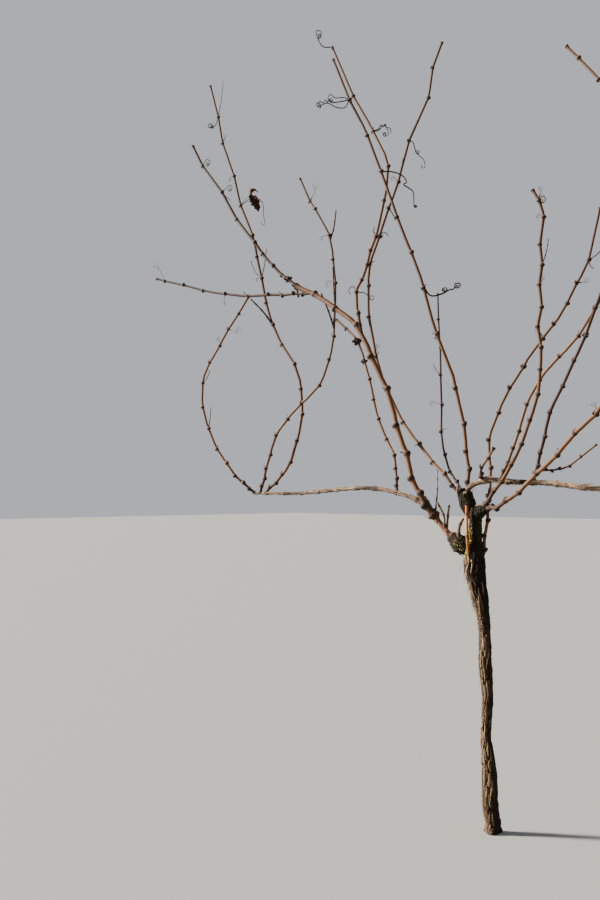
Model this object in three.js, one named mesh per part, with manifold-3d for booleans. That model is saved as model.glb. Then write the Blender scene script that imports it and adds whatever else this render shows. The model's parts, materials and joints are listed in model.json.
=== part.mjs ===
// A bare winter grapevine: one trunk, a low left arm, two old fruiting canes laid
// along the row at about hip height, and the one-year canes that rise from them.
// Millimetres, +Z up. +X runs along the row, +Y across it, and the origin is the
// middle of the flat cut under the trunk at ground level.

import * as THREE from 'three';
import { mergeVertices } from 'three/addons/utils/BufferGeometryUtils.js';
import Module from 'manifold-3d';

const wasm = await Module();
wasm.setup();

// Driving dimensions.
const GAP = 0.3;
const LIMB_SIDES = 8;
const TRUNK_SIDES = 12;
const CANE_SIDES = 5;
const TWIG_SIDES = 3;
const RINGS_PER_STATION = 2;

// How a cane is jointed: the first joints are short and grow to the cane's own joint.
const FIRST_JOINT = 0.35;
const JOINT_GROWTH = 1.35;
const JOINT_SPREAD = 0.2;
const TIP_STUB = 22;
const MARK_ROOM = 0.6;
const NODE_SWELL = 1.32;
const WAIST_AT = 0.3;
const FOOT_SWELL = 1.25;
const CUT_SWELL = 1.1;
const ZIGZAG = 0.48;
const TAPER_POWER = 0.85;
const BUD_PLANE_SPREAD = 1.2;
const BUD = { width: 4.6, height: 10, lean: 0.75, sunk: 0.55, faces: 4, fullOn: 4.5 };

// Side twigs and dried tendrils, as shares of a cane or in millimetres.
const TWIG = { chance: 0.13, from: 0.3, reach: [35, 120], thick: 0.52, thin: 0.36, lean: 0.85,
  run: 0.9, lift: 0.3, rings: 5 };
const TENDRIL = { chance: 0.16, from: 0.45, reach: 48, spread: [0.7, 1.3], rise: 0.5, run: 0.6,
  curlFrom: 0.35, curl: 11, turns: 1.35, drift: 9, steps: 9, thick: 1.8 };
const CLEARANCE = 4;
const SAMPLE_STEP = 12;

// The trunk's foot flares into three lobes, and its sides are lumpy above.
const FLARE = { height: 60, depth: 0.16, lobes: 3, turn: 0.6 };
const LUMPS = { depth: 0.06, pitch: 47 };

const COLOURS = {
  bark: { color: 0x6b5a4c, roughness: 0.95, metalness: 0 },
  oldCane: { color: 0x9a8876, roughness: 0.9, metalness: 0 },
  cane: { color: 0xa8743c, roughness: 0.65, metalness: 0 },
  cutWood: { color: 0xc98e4a, roughness: 0.7, metalness: 0 },
};

// Limbs, from the foot up: [along the row, across it, height, thickness].
const TRUNK = [
  [0, 0, 0, 62],
  [-2, 0, 24, 48],
  [-10, 0, 90, 42],
  [-13, 0, 180, 39],
  [-23, 0, 265, 31],
  [-18, 0, 355, 29],
  [-26, 0, 470, 35],
  [-28, 0, 560, 36],
  [-42, 0, 640, 47],
  [-58, 0, 705, 55],
  [-63, 0, 748, 57],
  [-60, 0, 800, 38],
  [-58, 0, 892, 33],
];
const HEAD_KNUCKLES = [
  [[-66, 0, 868, 32], [-84, 1, 900, 44], [-97, 2, 928, 42], [-100, 2, 946, 24]],
  [[-60, -2, 862, 26], [-40, -7, 880, 33], [-18, -12, 889, 29], [-2, -14, 894, 18]],
];
const LEFT_ARM = [
  [-62, 0, 768, 26],
  [-106, -2, 788, 52],
  [-134, -3, 806, 35],
  [-150, -6, 821, 17],
  [-168, -8, 838, 15],
  [-186, -10, 859, 19],
  [-195, -11, 870, 34],
  [-203, -12, 885, 19],
];
const LEFT_FRUITING_CANE = [
  [-200, -2, 872, 13],
  [-240, -2, 900, 13],
  [-300, -5, 925, 12.5],
  [-415, -5, 945, 12],
  [-525, -5, 945, 11],
  [-735, 0, 930, 10],
  [-955, 5, 930, 8],
];
const RIGHT_FRUITING_CANE = [
  [-95, 0, 932, 15],
  [-70, 0, 955, 16],
  [-20, 0, 970, 17],
  [50, 0, 965, 14.5],
  [180, 0, 960, 14],
  [330, 0, 945, 13],
  [520, 0, 940, 12],
  [700, 5, 940, 10.5],
  [860, 5, 945, 8.5],
];
const CUT_STUB = [
  [-66, -20, 752, 9],
  [-66, -27, 800, 8.6],
  [-68, -29, 898, 7.6],
];

// One-year canes. Each leaves its limb at a foot, or at a part of the limb's length,
// passes its bends and ends in a trimmed tip; thick gives its foot and tip. Where a cane
// has marked bends, its last ones are joints, and hand gives the first one's bud side.
const CANES = [
  { name: 'left_bough', on: 'left_arm', foot: [-192, -18, 872], thick: [14, 10.5], joint: 105, twigs: 0,
    sprig: { at: 0.84, reach: 125, hand: 1 },
    bends: [[-235, -30, 930], [-360, -30, 1240], [-475, -40, 1440], [-595, -40, 1520]],
    tip: [-710, -45, 1575] },
  { name: 'left_bough_end', on: 'left_bough', part: 0.985, thick: [9.5, 5.5], joint: 82, marked: 4, hand: 1,
    bends: [[-805, -45, 1645], [-890, -50, 1735], [-975, -50, 1825], [-1040, -55, 1920], [-1135, -55, 2025]],
    tip: [-1180, -60, 2100] },
  { name: 'left_side_cane', on: 'left_bough', part: 0.93, thick: [8, 4.5], joint: 90,
    bends: [[-780, -60, 1555], [-960, -95, 1570]],
    tip: [-1260, -150, 1650] },
  { name: 'left_tall_cane', on: 'left_bough', part: 0.645, thick: [9.5, 5], joint: 104, marked: 9, hand: 1,
    twigs: 0, curls: 0,
    bends: [[-475, -30, 1535], [-455, -25, 1570], [-440, -20, 1615], [-425, -20, 1655], [-410, -15, 1695],
      [-385, -5, 1800], [-380, 5, 1900], [-445, 15, 2020], [-535, 25, 2145]],
    tip: [-635, 40, 2325] },
  { name: 'left_short_cane', on: 'left_fruiting_cane', part: 0.195, thick: [8, 5], joint: 66,
    bends: [[-370, 20, 1045], [-435, 30, 1145], [-480, 40, 1270], [-540, 50, 1400]],
    tip: [-635, 60, 1475] },
  { name: 'left_end_cane', on: 'left_fruiting_cane', part: 0.925, thick: [9, 5], joint: 84, marked: 5,
    hand: 1, curls: 0, sprig: { at: 0.5, reach: 82, hand: -1 },
    bends: [[-800, 10, 1015], [-745, 15, 1165], [-760, 20, 1300], [-890, 30, 1480],
      [-990, 35, 1785], [-1050, 40, 1895], [-1090, 45, 2000], [-1150, 50, 2125], [-1180, 55, 2220]],
    tip: [-1225, 60, 2340] },
  { name: 'left_bowed_cane', on: 'left_fruiting_cane', part: 0.985, thick: [8, 5], joint: 78,
    bends: [[-1005, -30, 990], [-1100, -60, 1140], [-1110, -80, 1290], [-995, -110, 1405]],
    tip: [-825, -140, 1545] },
  { name: 'left_leaning_cane', on: 'left_fruiting_cane', part: 0.955, thick: [8.5, 4.5], joint: 80,
    marked: 2, hand: 1,
    bends: [[-800, -30, 1130], [-620, -20, 1285], [-600, 10, 1440], [-630, 25, 1720],
      [-695, 25, 1825], [-720, 30, 1855]],
    tip: [-765, 30, 1935] },
  { name: 'head_bent_cane', on: 'trunk', foot: [-104, -6, 928], thick: [9, 5], joint: 116, marked: 9,
    hand: -1, twigs: 0, curls: 0,
    bends: [[-155, -10, 980], [-300, 10, 1110], [-405, 15, 1265], [-465, 20, 1465], [-475, 25, 1560],
      [-465, 25, 1625], [-435, 30, 1705], [-400, 35, 1785], [-370, 40, 1860], [-330, 45, 1975],
      [-265, 50, 2090], [-250, 55, 2175]],
    tip: [-220, 60, 2245] },
  { name: 'head_straight_cane', on: 'trunk', foot: [-92, 12, 925], thick: [10, 5], joint: 114, marked: 7,
    hand: 1, twigs: 0, curls: 0,
    bends: [[-100, 20, 1025], [-135, 5, 1250], [-185, -15, 1385], [-220, -25, 1520], [-265, -30, 1625],
      [-310, -35, 1735], [-370, -40, 1875], [-415, -45, 1990], [-480, -55, 2105]],
    tip: [-540, -60, 2240] },
  { name: 'head_thin_cane', on: 'trunk', foot: [-104, 14, 922], thick: [6.5, 3.5], joint: 84,
    bends: [[-200, 45, 1040], [-240, 80, 1280]],
    tip: [-275, 110, 1525] },
  { name: 'head_spur', on: 'right_fruiting_cane', part: 0.075, thick: [7, 5], joint: 55, twigs: 0,
    bends: [[-15, -35, 995]],
    tip: [45, -60, 1055] },
  { name: 'water_shoot', on: 'trunk', foot: [-42, 6, 722], thick: [9, 5], joint: 76, marked: 5, hand: 1,
    curls: 0,
    bends: [[-35, 20, 850], [-30, 30, 960], [-35, 40, 1105], [60, 55, 1280], [120, 60, 1355],
      [155, 65, 1390], [190, 70, 1445], [220, 75, 1495], [250, 80, 1555]],
    tip: [280, 90, 1690] },
  { name: 'right_upright_cane', on: 'trunk', foot: [-30, -10, 886], thick: [10, 5.5], joint: 66, marked: 8,
    hand: 1, curls: 0,
    bends: [[15, -25, 930], [85, -30, 1015], [160, -25, 1195], [170, -25, 1320], [165, -30, 1375],
      [175, -30, 1425], [170, -30, 1485], [180, -35, 1535], [175, -35, 1590], [185, -35, 1660],
      [175, -40, 1705]],
    tip: [155, -40, 1735] },
  { name: 'right_leaning_cane', on: 'right_fruiting_cane', part: 0.135, thick: [8.5, 5], joint: 82,
    bends: [[50, 20, 1050], [115, 35, 1225], [245, 50, 1360], [385, 70, 1600]],
    tip: [455, 90, 1830] },
  { name: 'right_outer_cane', on: 'right_fruiting_cane', part: 0.245, thick: [8.5, 5], joint: 78,
    bends: [[170, -25, 1040], [215, -45, 1150], [300, -75, 1265], [390, -110, 1405]],
    tip: [520, -150, 1700] },
  { name: 'right_bough', on: 'trunk', foot: [-10, -15, 890], thick: [11.5, 7], joint: 84,
    bends: [[55, -45, 900], [175, -65, 975], [330, -95, 1095], [400, -110, 1150]],
    tip: [610, -165, 1455] },
  { name: 'right_bough_twig', on: 'right_bough', part: 0.28, thick: [5, 3.5], joint: 42, twigs: 0,
    bends: [[260, -50, 1000]],
    tip: [330, -10, 1060] },
  { name: 'right_crossing_cane', on: 'right_fruiting_cane', part: 0.69, thick: [9.5, 5], joint: 88,
    bends: [[590, -15, 1150], [575, -45, 1560], [470, -85, 1850]],
    tip: [295, -100, 2065] },
];

// The far end of the right fruiting cane: canes spaced evenly along it and raised by a seeded rule.
const FAR_CANES = { count: 5, first: 0.5, step: 0.117, thick: [8.5, 5], joint: 84, seed: 41,
  rise: [760, 1230], lean: [-10, 210], across: [25, 130], nearSide: -0.45, bow: [-55, 55],
  bends: [[0.3, 0.7], [0.65, 1]] };
const FIRST_SEED = 11;

// Seeded numbers from 0 to 1, the same in every run.
const SEED_FACTOR = 48271;
const SEED_MODULUS = 2147483647;
function seededRandom(seed) {
  let state = (seed * SEED_FACTOR) % SEED_MODULUS;
  return () => {
    state = (state * SEED_FACTOR) % SEED_MODULUS;
    return state / SEED_MODULUS;
  };
}

function between(range, share) {
  return range[0] + (range[1] - range[0]) * share;
}

function curveThrough(points) {
  const vectors = points.map((point) => new THREE.Vector3(point[0], point[1], point[2]));
  return new THREE.CatmullRomCurve3(vectors, false, 'centripetal');
}

// An enlarged tube is also longer: its first ring moves back and its last one on.
function endShift(row, rows) {
  return Number(row === rows - 1) - Number(row === 0);
}

// A closed tube of rings around its stations, each { at, radius }, with flat ends.
function tubeGeometry(stations, sides, extra = 0, level = false, shape = () => 1) {
  const positions = [];
  const index = [];
  const up = new THREE.Vector3(0, 0, 1);
  let across = new THREE.Vector3(0.31, 1, 0.17).normalize();
  stations.forEach((station, row) => {
    const before = stations[Math.max(row - 1, 0)].at;
    const after = stations[Math.min(row + 1, stations.length - 1)].at;
    const along = level ? up : new THREE.Vector3().subVectors(after, before).normalize();
    across = across.clone().addScaledVector(along, -across.dot(along)).normalize();
    const third = new THREE.Vector3().crossVectors(along, across);
    for (let side = 0; side < sides; side += 1) {
      const angle = (side / sides) * Math.PI * 2;
      const radius = station.radius * shape(angle, station.at.z) + extra;
      const point = station.at.clone().addScaledVector(along, endShift(row, stations.length) * extra);
      point.addScaledVector(across, Math.cos(angle) * radius);
      point.addScaledVector(third, Math.sin(angle) * radius);
      positions.push(point.x, point.y, point.z);
    }
  });
  const rows = stations.length;
  for (let row = 0; row + 1 < rows; row += 1) {
    for (let side = 0; side < sides; side += 1) {
      const a = row * sides + side;
      const b = row * sides + ((side + 1) % sides);
      index.push(a, b, b + sides, a, b + sides, a + sides);
    }
  }
  for (let side = 1; side + 1 < sides; side += 1) {
    const top = (rows - 1) * sides;
    index.push(0, side + 1, side);
    index.push(top, top + side, top + side + 1);
  }
  const geometry = new THREE.BufferGeometry();
  geometry.setAttribute('position', new THREE.Float32BufferAttribute(positions, 3));
  geometry.setIndex(index);
  return geometry;
}

function toManifold(geometry) {
  const bare = geometry.clone();
  bare.deleteAttribute('normal');
  bare.deleteAttribute('uv');
  const merged = mergeVertices(bare, 1e-4);
  return new wasm.Manifold(new wasm.Mesh({
    numProp: 3,
    vertProperties: new Float32Array(merged.attributes.position.array),
    triVerts: new Uint32Array(merged.index.array),
  }));
}

function joinSolids(solids) {
  return solids.reduce((joined, next) => joined.add(next));
}

function toMesh(name, solid, look) {
  const data = solid.getMesh();
  const geometry = new THREE.BufferGeometry();
  geometry.setAttribute('position', new THREE.Float32BufferAttribute(data.vertProperties, 3));
  geometry.setIndex(new THREE.Uint32BufferAttribute(data.triVerts, 1));
  const mesh = new THREE.Mesh(geometry, new THREE.MeshStandardMaterial(look));
  mesh.name = name;
  return mesh;
}

// A tapering limb through its stations, with rings between them.
function limbSolid(stations, sides, extra = 0, level = false, shape = () => 1) {
  const curve = curveThrough(stations);
  const last = stations.length - 1;
  const rings = last * RINGS_PER_STATION;
  const rows = [];
  for (let ring = 0; ring <= rings; ring += 1) {
    const share = ring / rings;
    const low = Math.min(Math.floor(share * last), last - 1);
    const width = between([stations[low][3], stations[low + 1][3]], share * last - low);
    rows.push({ at: curve.getPoint(share), radius: width / 2 });
  }
  return toManifold(tubeGeometry(rows, sides, extra, level, shape));
}

// The trunk is fluted at the foot and lumpy above, with the head's knuckles fused on.
function trunkShape(angle, height) {
  const flare = Math.max(0, 1 - height / FLARE.height) * FLARE.depth;
  const lobes = Math.cos(FLARE.lobes * angle + FLARE.turn);
  return 1 + flare * lobes + LUMPS.depth * Math.sin(2 * angle + height / LUMPS.pitch);
}

function trunkSolid(extra = 0) {
  const column = limbSolid(TRUNK, TRUNK_SIDES, extra, true, trunkShape);
  const knuckles = HEAD_KNUCKLES.map((stations) => limbSolid(stations, LIMB_SIDES, extra));
  return joinSolids([column, ...knuckles]);
}

// How far from the foot the marked bends of a cane are.
function markedJoints(cane, curve) {
  const lengths = curve.getLengths();
  const stretches = cane.bends.length + 1;
  const marks = cane.bends.map((_, bend) => {
    const at = ((bend + 1) / stretches) * (lengths.length - 1);
    const low = Math.min(Math.floor(at), lengths.length - 2);
    return between([lengths[low], lengths[low + 1]], at - low);
  });
  return marks.slice(marks.length - (cane.marked ?? 0));
}

// The places of a cane's joints, twigs and tendrils, worked out before any solid is made.
function planCane(cane, foot) {
  const curve = curveThrough([foot, ...cane.bends, cane.tip]);
  const length = curve.getLength();
  const random = seededRandom(cane.seed);
  const turn = (random() - 0.5) * BUD_PLANE_SPREAD;
  const radiusAt = (distance) => {
    const share = Math.pow(Math.min(distance / length, 1), TAPER_POWER);
    return between(cane.thick, share) / 2;
  };
  const frameAt = (distance) => {
    const at = curve.getPointAt(Math.min(distance / length, 1));
    const along = curve.getTangentAt(Math.min(distance / length, 1));
    const side = new THREE.Vector3(0, 1, 0).cross(along).normalize();
    const third = new THREE.Vector3().crossVectors(along, side);
    const bud = side.multiplyScalar(Math.cos(turn)).addScaledVector(third, Math.sin(turn));
    return { at, along, bud };
  };
  const nodes = [];
  const addNode = (distance, step, hand) => {
    const frame = frameAt(distance);
    const radius = radiusAt(distance);
    const centre = frame.at.clone().addScaledVector(frame.bud, hand * radius * ZIGZAG);
    const twigDraw = random();
    const twigShare = random();
    const tendrilDraw = random();
    nodes.push({ distance, hand, centre, radius, joint: step, ...frame, twigDraw, twigShare, tendrilDraw });
  };
  const marks = markedJoints(cane, curve);
  const ruledEnd = marks.length ? marks[0] - cane.joint * MARK_ROOM : length - TIP_STUB;
  let joint = cane.joint * FIRST_JOINT;
  let distance = joint;
  while (distance < ruledEnd) {
    const step = joint * (1 + (random() - 0.5) * JOINT_SPREAD);
    addNode(distance, step, nodes.length % 2 ? 1 : -1);
    joint = Math.min(cane.joint, joint * JOINT_GROWTH);
    distance += step;
  }
  marks.forEach((mark, order) => {
    addNode(mark, (marks[order + 1] ?? length) - mark, order % 2 ? -cane.hand : cane.hand);
  });
  return { cane, curve, length, nodes, radiusAt, twigs: [], tendrils: [] };
}

// A side twig leaves beside its bud, leans out and turns up.
function twigPath(node, reach, hand) {
  const out = node.bud.clone().multiplyScalar(hand * TWIG.lean).add(node.along).normalize();
  const middle = node.centre.clone().addScaledVector(out, reach / 2);
  const tip = node.centre.clone().addScaledVector(out, reach * TWIG.run);
  tip.z += reach * TWIG.lift;
  const curve = new THREE.CatmullRomCurve3([node.centre, middle, tip], false, 'centripetal');
  return Array.from({ length: TWIG.rings }, (_, ring) => {
    const share = ring / (TWIG.rings - 1);
    return { at: curve.getPoint(share), radius: node.radius * between([TWIG.thick, TWIG.thin], share) };
  });
}

// A tendril leaves opposite the bud, runs out and curls round a small ring.
function tendrilPath(node) {
  const out = node.bud.clone().multiplyScalar(-node.hand);
  out.addScaledVector(node.along, TENDRIL.rise).normalize();
  const lift = new THREE.Vector3().crossVectors(out, new THREE.Vector3(0, 1, 0)).normalize();
  const reach = TENDRIL.reach * between(TENDRIL.spread, node.twigShare);
  const stations = [];
  for (let step = 0; step <= TENDRIL.steps; step += 1) {
    const share = step / TENDRIL.steps;
    const curled = Math.max(0, share - TENDRIL.curlFrom) / (1 - TENDRIL.curlFrom);
    const angle = curled * TENDRIL.turns * Math.PI * 2;
    const run = reach * Math.min(share / TENDRIL.run, 1) + TENDRIL.curl * Math.sin(angle);
    const at = node.centre.clone().addScaledVector(out, run);
    at.addScaledVector(lift, TENDRIL.curl * (1 - Math.cos(angle)));
    at.y += TENDRIL.drift * share;
    stations.push({ at, radius: TENDRIL.thick / 2 });
  }
  return stations;
}

// A twig or tendril is kept only where it stays clear of every other cane, limb and twig.
function staysClear(stations, owner, taken) {
  const free = stations.slice(1);
  const room = CLEARANCE + SAMPLE_STEP / 2;
  return taken.every((item) => item.owner === owner || free.every((station) => (
    station.at.distanceTo(item.at) > station.radius + item.radius + room
  )));
}

function growSideTwigs(plan, taken) {
  const { cane } = plan;
  const keep = (list, stations) => {
    if (!staysClear(stations, cane.name, taken)) {
      return;
    }
    list.push(stations);
    stations.forEach((station) => taken.push({ ...station, owner: cane.name }));
  };
  const chance = cane.twigs ?? TWIG.chance;
  const curls = cane.curls ?? TENDRIL.chance;
  plan.nodes.forEach((node) => {
    const share = node.distance / plan.length;
    if (share > TWIG.from && node.twigDraw < chance) {
      keep(plan.twigs, twigPath(node, between(TWIG.reach, node.twigShare), node.hand));
    }
    if (share > TENDRIL.from && node.tendrilDraw < curls) {
      keep(plan.tendrils, tendrilPath(node));
    }
  });
  if (cane.sprig) {
    const wanted = cane.sprig.at * plan.length;
    const nearest = plan.nodes.reduce((best, node) => (
      Math.abs(node.distance - wanted) < Math.abs(best.distance - wanted) ? node : best
    ));
    keep(plan.twigs, twigPath(nearest, cane.sprig.reach, cane.sprig.hand));
  }
}

function budSolid(node, extra) {
  const width = BUD.width * Math.min(1, node.radius / BUD.fullOn) + extra * 2;
  const cone = new THREE.ConeGeometry(width / 2, BUD.height, BUD.faces);
  const lean = node.along.clone().multiplyScalar(BUD.lean).addScaledVector(node.bud, node.hand).normalize();
  const turn = new THREE.Quaternion().setFromUnitVectors(new THREE.Vector3(0, 1, 0), lean);
  const seat = node.centre.clone().addScaledVector(node.bud, node.hand * node.radius * BUD.sunk);
  cone.applyQuaternion(turn);
  seat.addScaledVector(lean, BUD.height / 2);
  cone.translate(seat.x, seat.y, seat.z);
  return toManifold(cone);
}

function caneSolid(plan, extra = 0) {
  const { cane, curve, length, nodes, radiusAt } = plan;
  const rows = [{ at: curve.getPointAt(0), radius: radiusAt(0) * FOOT_SWELL }];
  nodes.forEach((node, order) => {
    rows.push({ at: node.centre, radius: node.radius * NODE_SWELL });
    const waist = node.distance + node.joint * WAIST_AT;
    const last = order === nodes.length - 1;
    if (!last) {
      rows.push({ at: curve.getPointAt(waist / length), radius: radiusAt(waist) });
    }
  });
  rows.push({ at: curve.getPointAt(1), radius: radiusAt(length) * CUT_SWELL });
  const solids = [toManifold(tubeGeometry(rows, CANE_SIDES, extra))];
  nodes.forEach((node) => {
    if (node.distance > cane.joint) {
      solids.push(budSolid(node, extra));
    }
  });
  [...plan.twigs, ...plan.tendrils].forEach((stations) => {
    solids.push(toManifold(tubeGeometry(stations, TWIG_SIDES, extra)));
  });
  return joinSolids(solids);
}

// A piece is cut back from the limb that carries it, to leave the running gap at its foot.
function cutClear(solid, carrier) {
  const pieces = solid.subtract(carrier).decompose();
  return pieces.reduce((best, piece) => (piece.volume() > best.volume() ? piece : best));
}

function farCanes() {
  const random = seededRandom(FAR_CANES.seed);
  const limb = curveThrough(RIGHT_FRUITING_CANE);
  return Array.from({ length: FAR_CANES.count }, (_, order) => {
    const part = FAR_CANES.first + FAR_CANES.step * order;
    const foot = limb.getPointAt(part);
    const rise = between(FAR_CANES.rise, random());
    const lean = between(FAR_CANES.lean, random());
    const across = between(FAR_CANES.across, random()) * (order % 2 ? 1 : FAR_CANES.nearSide);
    const bow = between(FAR_CANES.bow, random());
    const bend = (share, bowed) => [
      foot.x + lean * share + bow * bowed,
      foot.y + across * share,
      foot.z + rise * share,
    ];
    return {
      name: `right_far_cane_${order + 1}`,
      on: 'right_fruiting_cane',
      part,
      thick: FAR_CANES.thick,
      joint: FAR_CANES.joint,
      bends: FAR_CANES.bends.map(([share, bowed]) => bend(share, bowed)),
      tip: bend(1, 0),
    };
  });
}

function sampleLimb(name, stations) {
  const curve = curveThrough(stations);
  const count = Math.ceil(curve.getLength() / SAMPLE_STEP);
  return curve.getSpacedPoints(count).map((at) => ({ at, radius: stations[0][3] / 2, owner: name }));
}

const limbs = {
  trunk: { stations: TRUNK, look: COLOURS.bark, solid: trunkSolid },
  left_arm: { stations: LEFT_ARM, look: COLOURS.bark, on: 'trunk' },
  left_fruiting_cane: { stations: LEFT_FRUITING_CANE, look: COLOURS.oldCane, on: 'left_arm' },
  right_fruiting_cane: { stations: RIGHT_FRUITING_CANE, look: COLOURS.oldCane, on: 'trunk' },
  cut_stub: { stations: CUT_STUB, look: COLOURS.cutWood, on: 'trunk' },
};

const grapevine = new THREE.Group();
const grown = {};
const curves = {};
const taken = [];

Object.entries(limbs).forEach(([name, limb]) => {
  const make = limb.solid ?? ((extra) => limbSolid(limb.stations, LIMB_SIDES, extra));
  const solid = limb.on ? cutClear(make(0), grown[limb.on]) : make(0);
  grown[name] = make(GAP);
  curves[name] = curveThrough(limb.stations);
  taken.push(...sampleLimb(name, limb.stations));
  grapevine.add(toMesh(name, solid, limb.look));
});

const plans = [...CANES, ...farCanes()].map((cane, order) => {
  const foot = cane.foot ?? curves[cane.on].getPointAt(cane.part).toArray();
  const plan = planCane({ seed: order + FIRST_SEED, ...cane }, foot);
  curves[cane.name] = plan.curve;
  const count = Math.ceil(plan.length / SAMPLE_STEP);
  plan.curve.getSpacedPoints(count).forEach((at) => {
    taken.push({ at, radius: plan.radiusAt(0), owner: cane.name });
  });
  return plan;
});

plans.forEach((plan) => {
  growSideTwigs(plan, taken);
  grown[plan.cane.name] = caneSolid(plan, GAP);
  const solid = cutClear(caneSolid(plan), grown[plan.cane.on]);
  grapevine.add(toMesh(plan.cane.name, solid, COLOURS.cane));
});

export default grapevine;
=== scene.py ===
"""A bare winter grapevine, dressed over its plain solids.

Metres, +Z up. +X runs along the vine row, +Y across it, and the origin is the middle of
the flat cut under the trunk at ground level.
"""

import functools
import json
import math

import bpy
import numpy as np
from bpy.props import FloatProperty, FloatVectorProperty, IntProperty, PointerProperty
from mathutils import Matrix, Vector

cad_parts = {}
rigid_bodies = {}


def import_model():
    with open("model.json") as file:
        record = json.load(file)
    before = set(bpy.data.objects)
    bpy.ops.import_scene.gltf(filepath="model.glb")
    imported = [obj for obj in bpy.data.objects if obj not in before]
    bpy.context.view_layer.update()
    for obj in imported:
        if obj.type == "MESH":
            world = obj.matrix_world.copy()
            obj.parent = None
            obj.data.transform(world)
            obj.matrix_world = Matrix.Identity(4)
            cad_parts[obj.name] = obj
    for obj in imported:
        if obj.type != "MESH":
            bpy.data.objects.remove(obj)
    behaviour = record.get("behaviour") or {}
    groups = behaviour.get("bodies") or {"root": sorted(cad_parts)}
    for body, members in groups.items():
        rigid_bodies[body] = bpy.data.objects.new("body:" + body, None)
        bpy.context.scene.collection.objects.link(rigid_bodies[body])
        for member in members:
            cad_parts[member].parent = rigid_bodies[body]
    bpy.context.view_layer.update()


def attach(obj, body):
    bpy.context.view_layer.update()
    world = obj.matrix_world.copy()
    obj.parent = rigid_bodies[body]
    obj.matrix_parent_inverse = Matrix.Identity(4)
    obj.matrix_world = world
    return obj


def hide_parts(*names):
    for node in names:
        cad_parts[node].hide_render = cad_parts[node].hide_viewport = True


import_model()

bl_info = {
    "name": "Bare Grapevine",
    "version": (1, 0, 0),
    "blender": (4, 5, 0),
    "location": "View3D > Sidebar > Grapevine",
    "description": "Grows the bark, canes, buds and tendrils of a cane-pruned winter vine",
    "category": "Add Mesh",
}

# How a one-year cane is jointed: the first joints are short and grow to the cane's own.
FIRST_JOINT = 0.35
JOINT_GROWTH = 1.35
JOINT_SPREAD = 0.2
TIP_STUB = 0.022
MARK_ROOM = 0.6
WAIST_AT = 0.3
ZIGZAG = 0.48
TAPER_POWER = 0.85
BUD_PLANE_SPREAD = 1.2
FIRST_SEED = 11

# Side twigs and dried tendrils, as shares of a cane or in metres.
TWIG = {"start": 0.3, "reach": (0.035, 0.12), "thick": (0.52, 0.36), "lean": 0.85, "run": 0.9,
        "lift": 0.3, "rings": 5}
TENDRIL = {"start": 0.45, "reach": 0.048, "spread": (0.7, 1.3), "rise": 0.5, "run": 0.6,
           "curl_from": 0.35, "curl": 0.011, "turns": 1.35, "drift": 0.009, "steps": 9,
           "fine_steps": 44, "thick": 0.0018, "taper": (1.0, 0.42)}
CLEARANCE = 0.004
SAMPLE_STEP = 0.012

# What grows on the canes besides the source's twigs: stubs and finer tendrils.
FINE = {"seed": 500, "start": 0.12, "stub_chance": 0.3, "stub_reach": (0.006, 0.018),
        "stub_thick": 0.42, "stub_taper": (1.3, 1.0, 0.8), "stub_lean": 0.6, "stub_bow": 0.12,
        "curl_chance": 0.16, "curl_size": 0.6}

# Limbs, from the foot up: along the row, across it, height, thickness.
LIMBS = {
    "trunk": [
        (0, 0, 0, 0.062), (-0.002, 0, 0.024, 0.048), (-0.01, 0, 0.09, 0.042),
        (-0.013, 0, 0.18, 0.039), (-0.023, 0, 0.265, 0.031), (-0.018, 0, 0.355, 0.029),
        (-0.026, 0, 0.47, 0.035), (-0.028, 0, 0.56, 0.036), (-0.042, 0, 0.64, 0.047),
        (-0.058, 0, 0.705, 0.055), (-0.063, 0, 0.748, 0.057), (-0.06, 0, 0.8, 0.038),
        (-0.058, 0, 0.892, 0.033)],
    "left_arm": [
        (-0.062, 0, 0.768, 0.026), (-0.106, -0.002, 0.788, 0.052), (-0.134, -0.003, 0.806, 0.035),
        (-0.15, -0.006, 0.821, 0.017), (-0.168, -0.008, 0.838, 0.015), (-0.186, -0.01, 0.859, 0.019),
        (-0.195, -0.011, 0.87, 0.034), (-0.203, -0.012, 0.885, 0.019)],
    "left_fruiting_cane": [
        (-0.2, -0.002, 0.872, 0.013), (-0.24, -0.002, 0.9, 0.013), (-0.3, -0.005, 0.925, 0.0125),
        (-0.415, -0.005, 0.945, 0.012), (-0.525, -0.005, 0.945, 0.011), (-0.735, 0, 0.93, 0.01),
        (-0.955, 0.005, 0.93, 0.008)],
    "right_fruiting_cane": [
        (-0.095, 0, 0.932, 0.015), (-0.07, 0, 0.955, 0.016), (-0.02, 0, 0.97, 0.017),
        (0.05, 0, 0.965, 0.0145), (0.18, 0, 0.96, 0.014), (0.33, 0, 0.945, 0.013),
        (0.52, 0, 0.94, 0.012), (0.7, 0.005, 0.94, 0.0105), (0.86, 0.005, 0.945, 0.0085)],
    "cut_stub": [
        (-0.066, -0.02, 0.752, 0.009), (-0.066, -0.027, 0.8, 0.0086), (-0.068, -0.029, 0.898, 0.0076)],
}
HEAD_KNUCKLES = [
    [(-0.066, 0, 0.868, 0.032), (-0.084, 0.001, 0.9, 0.044), (-0.097, 0.002, 0.928, 0.042),
     (-0.1, 0.002, 0.946, 0.024)],
    [(-0.06, -0.002, 0.862, 0.026), (-0.04, -0.007, 0.88, 0.033),
     (-0.018, -0.012, 0.889, 0.029), (-0.002, -0.014, 0.894, 0.018)],
]

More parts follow.
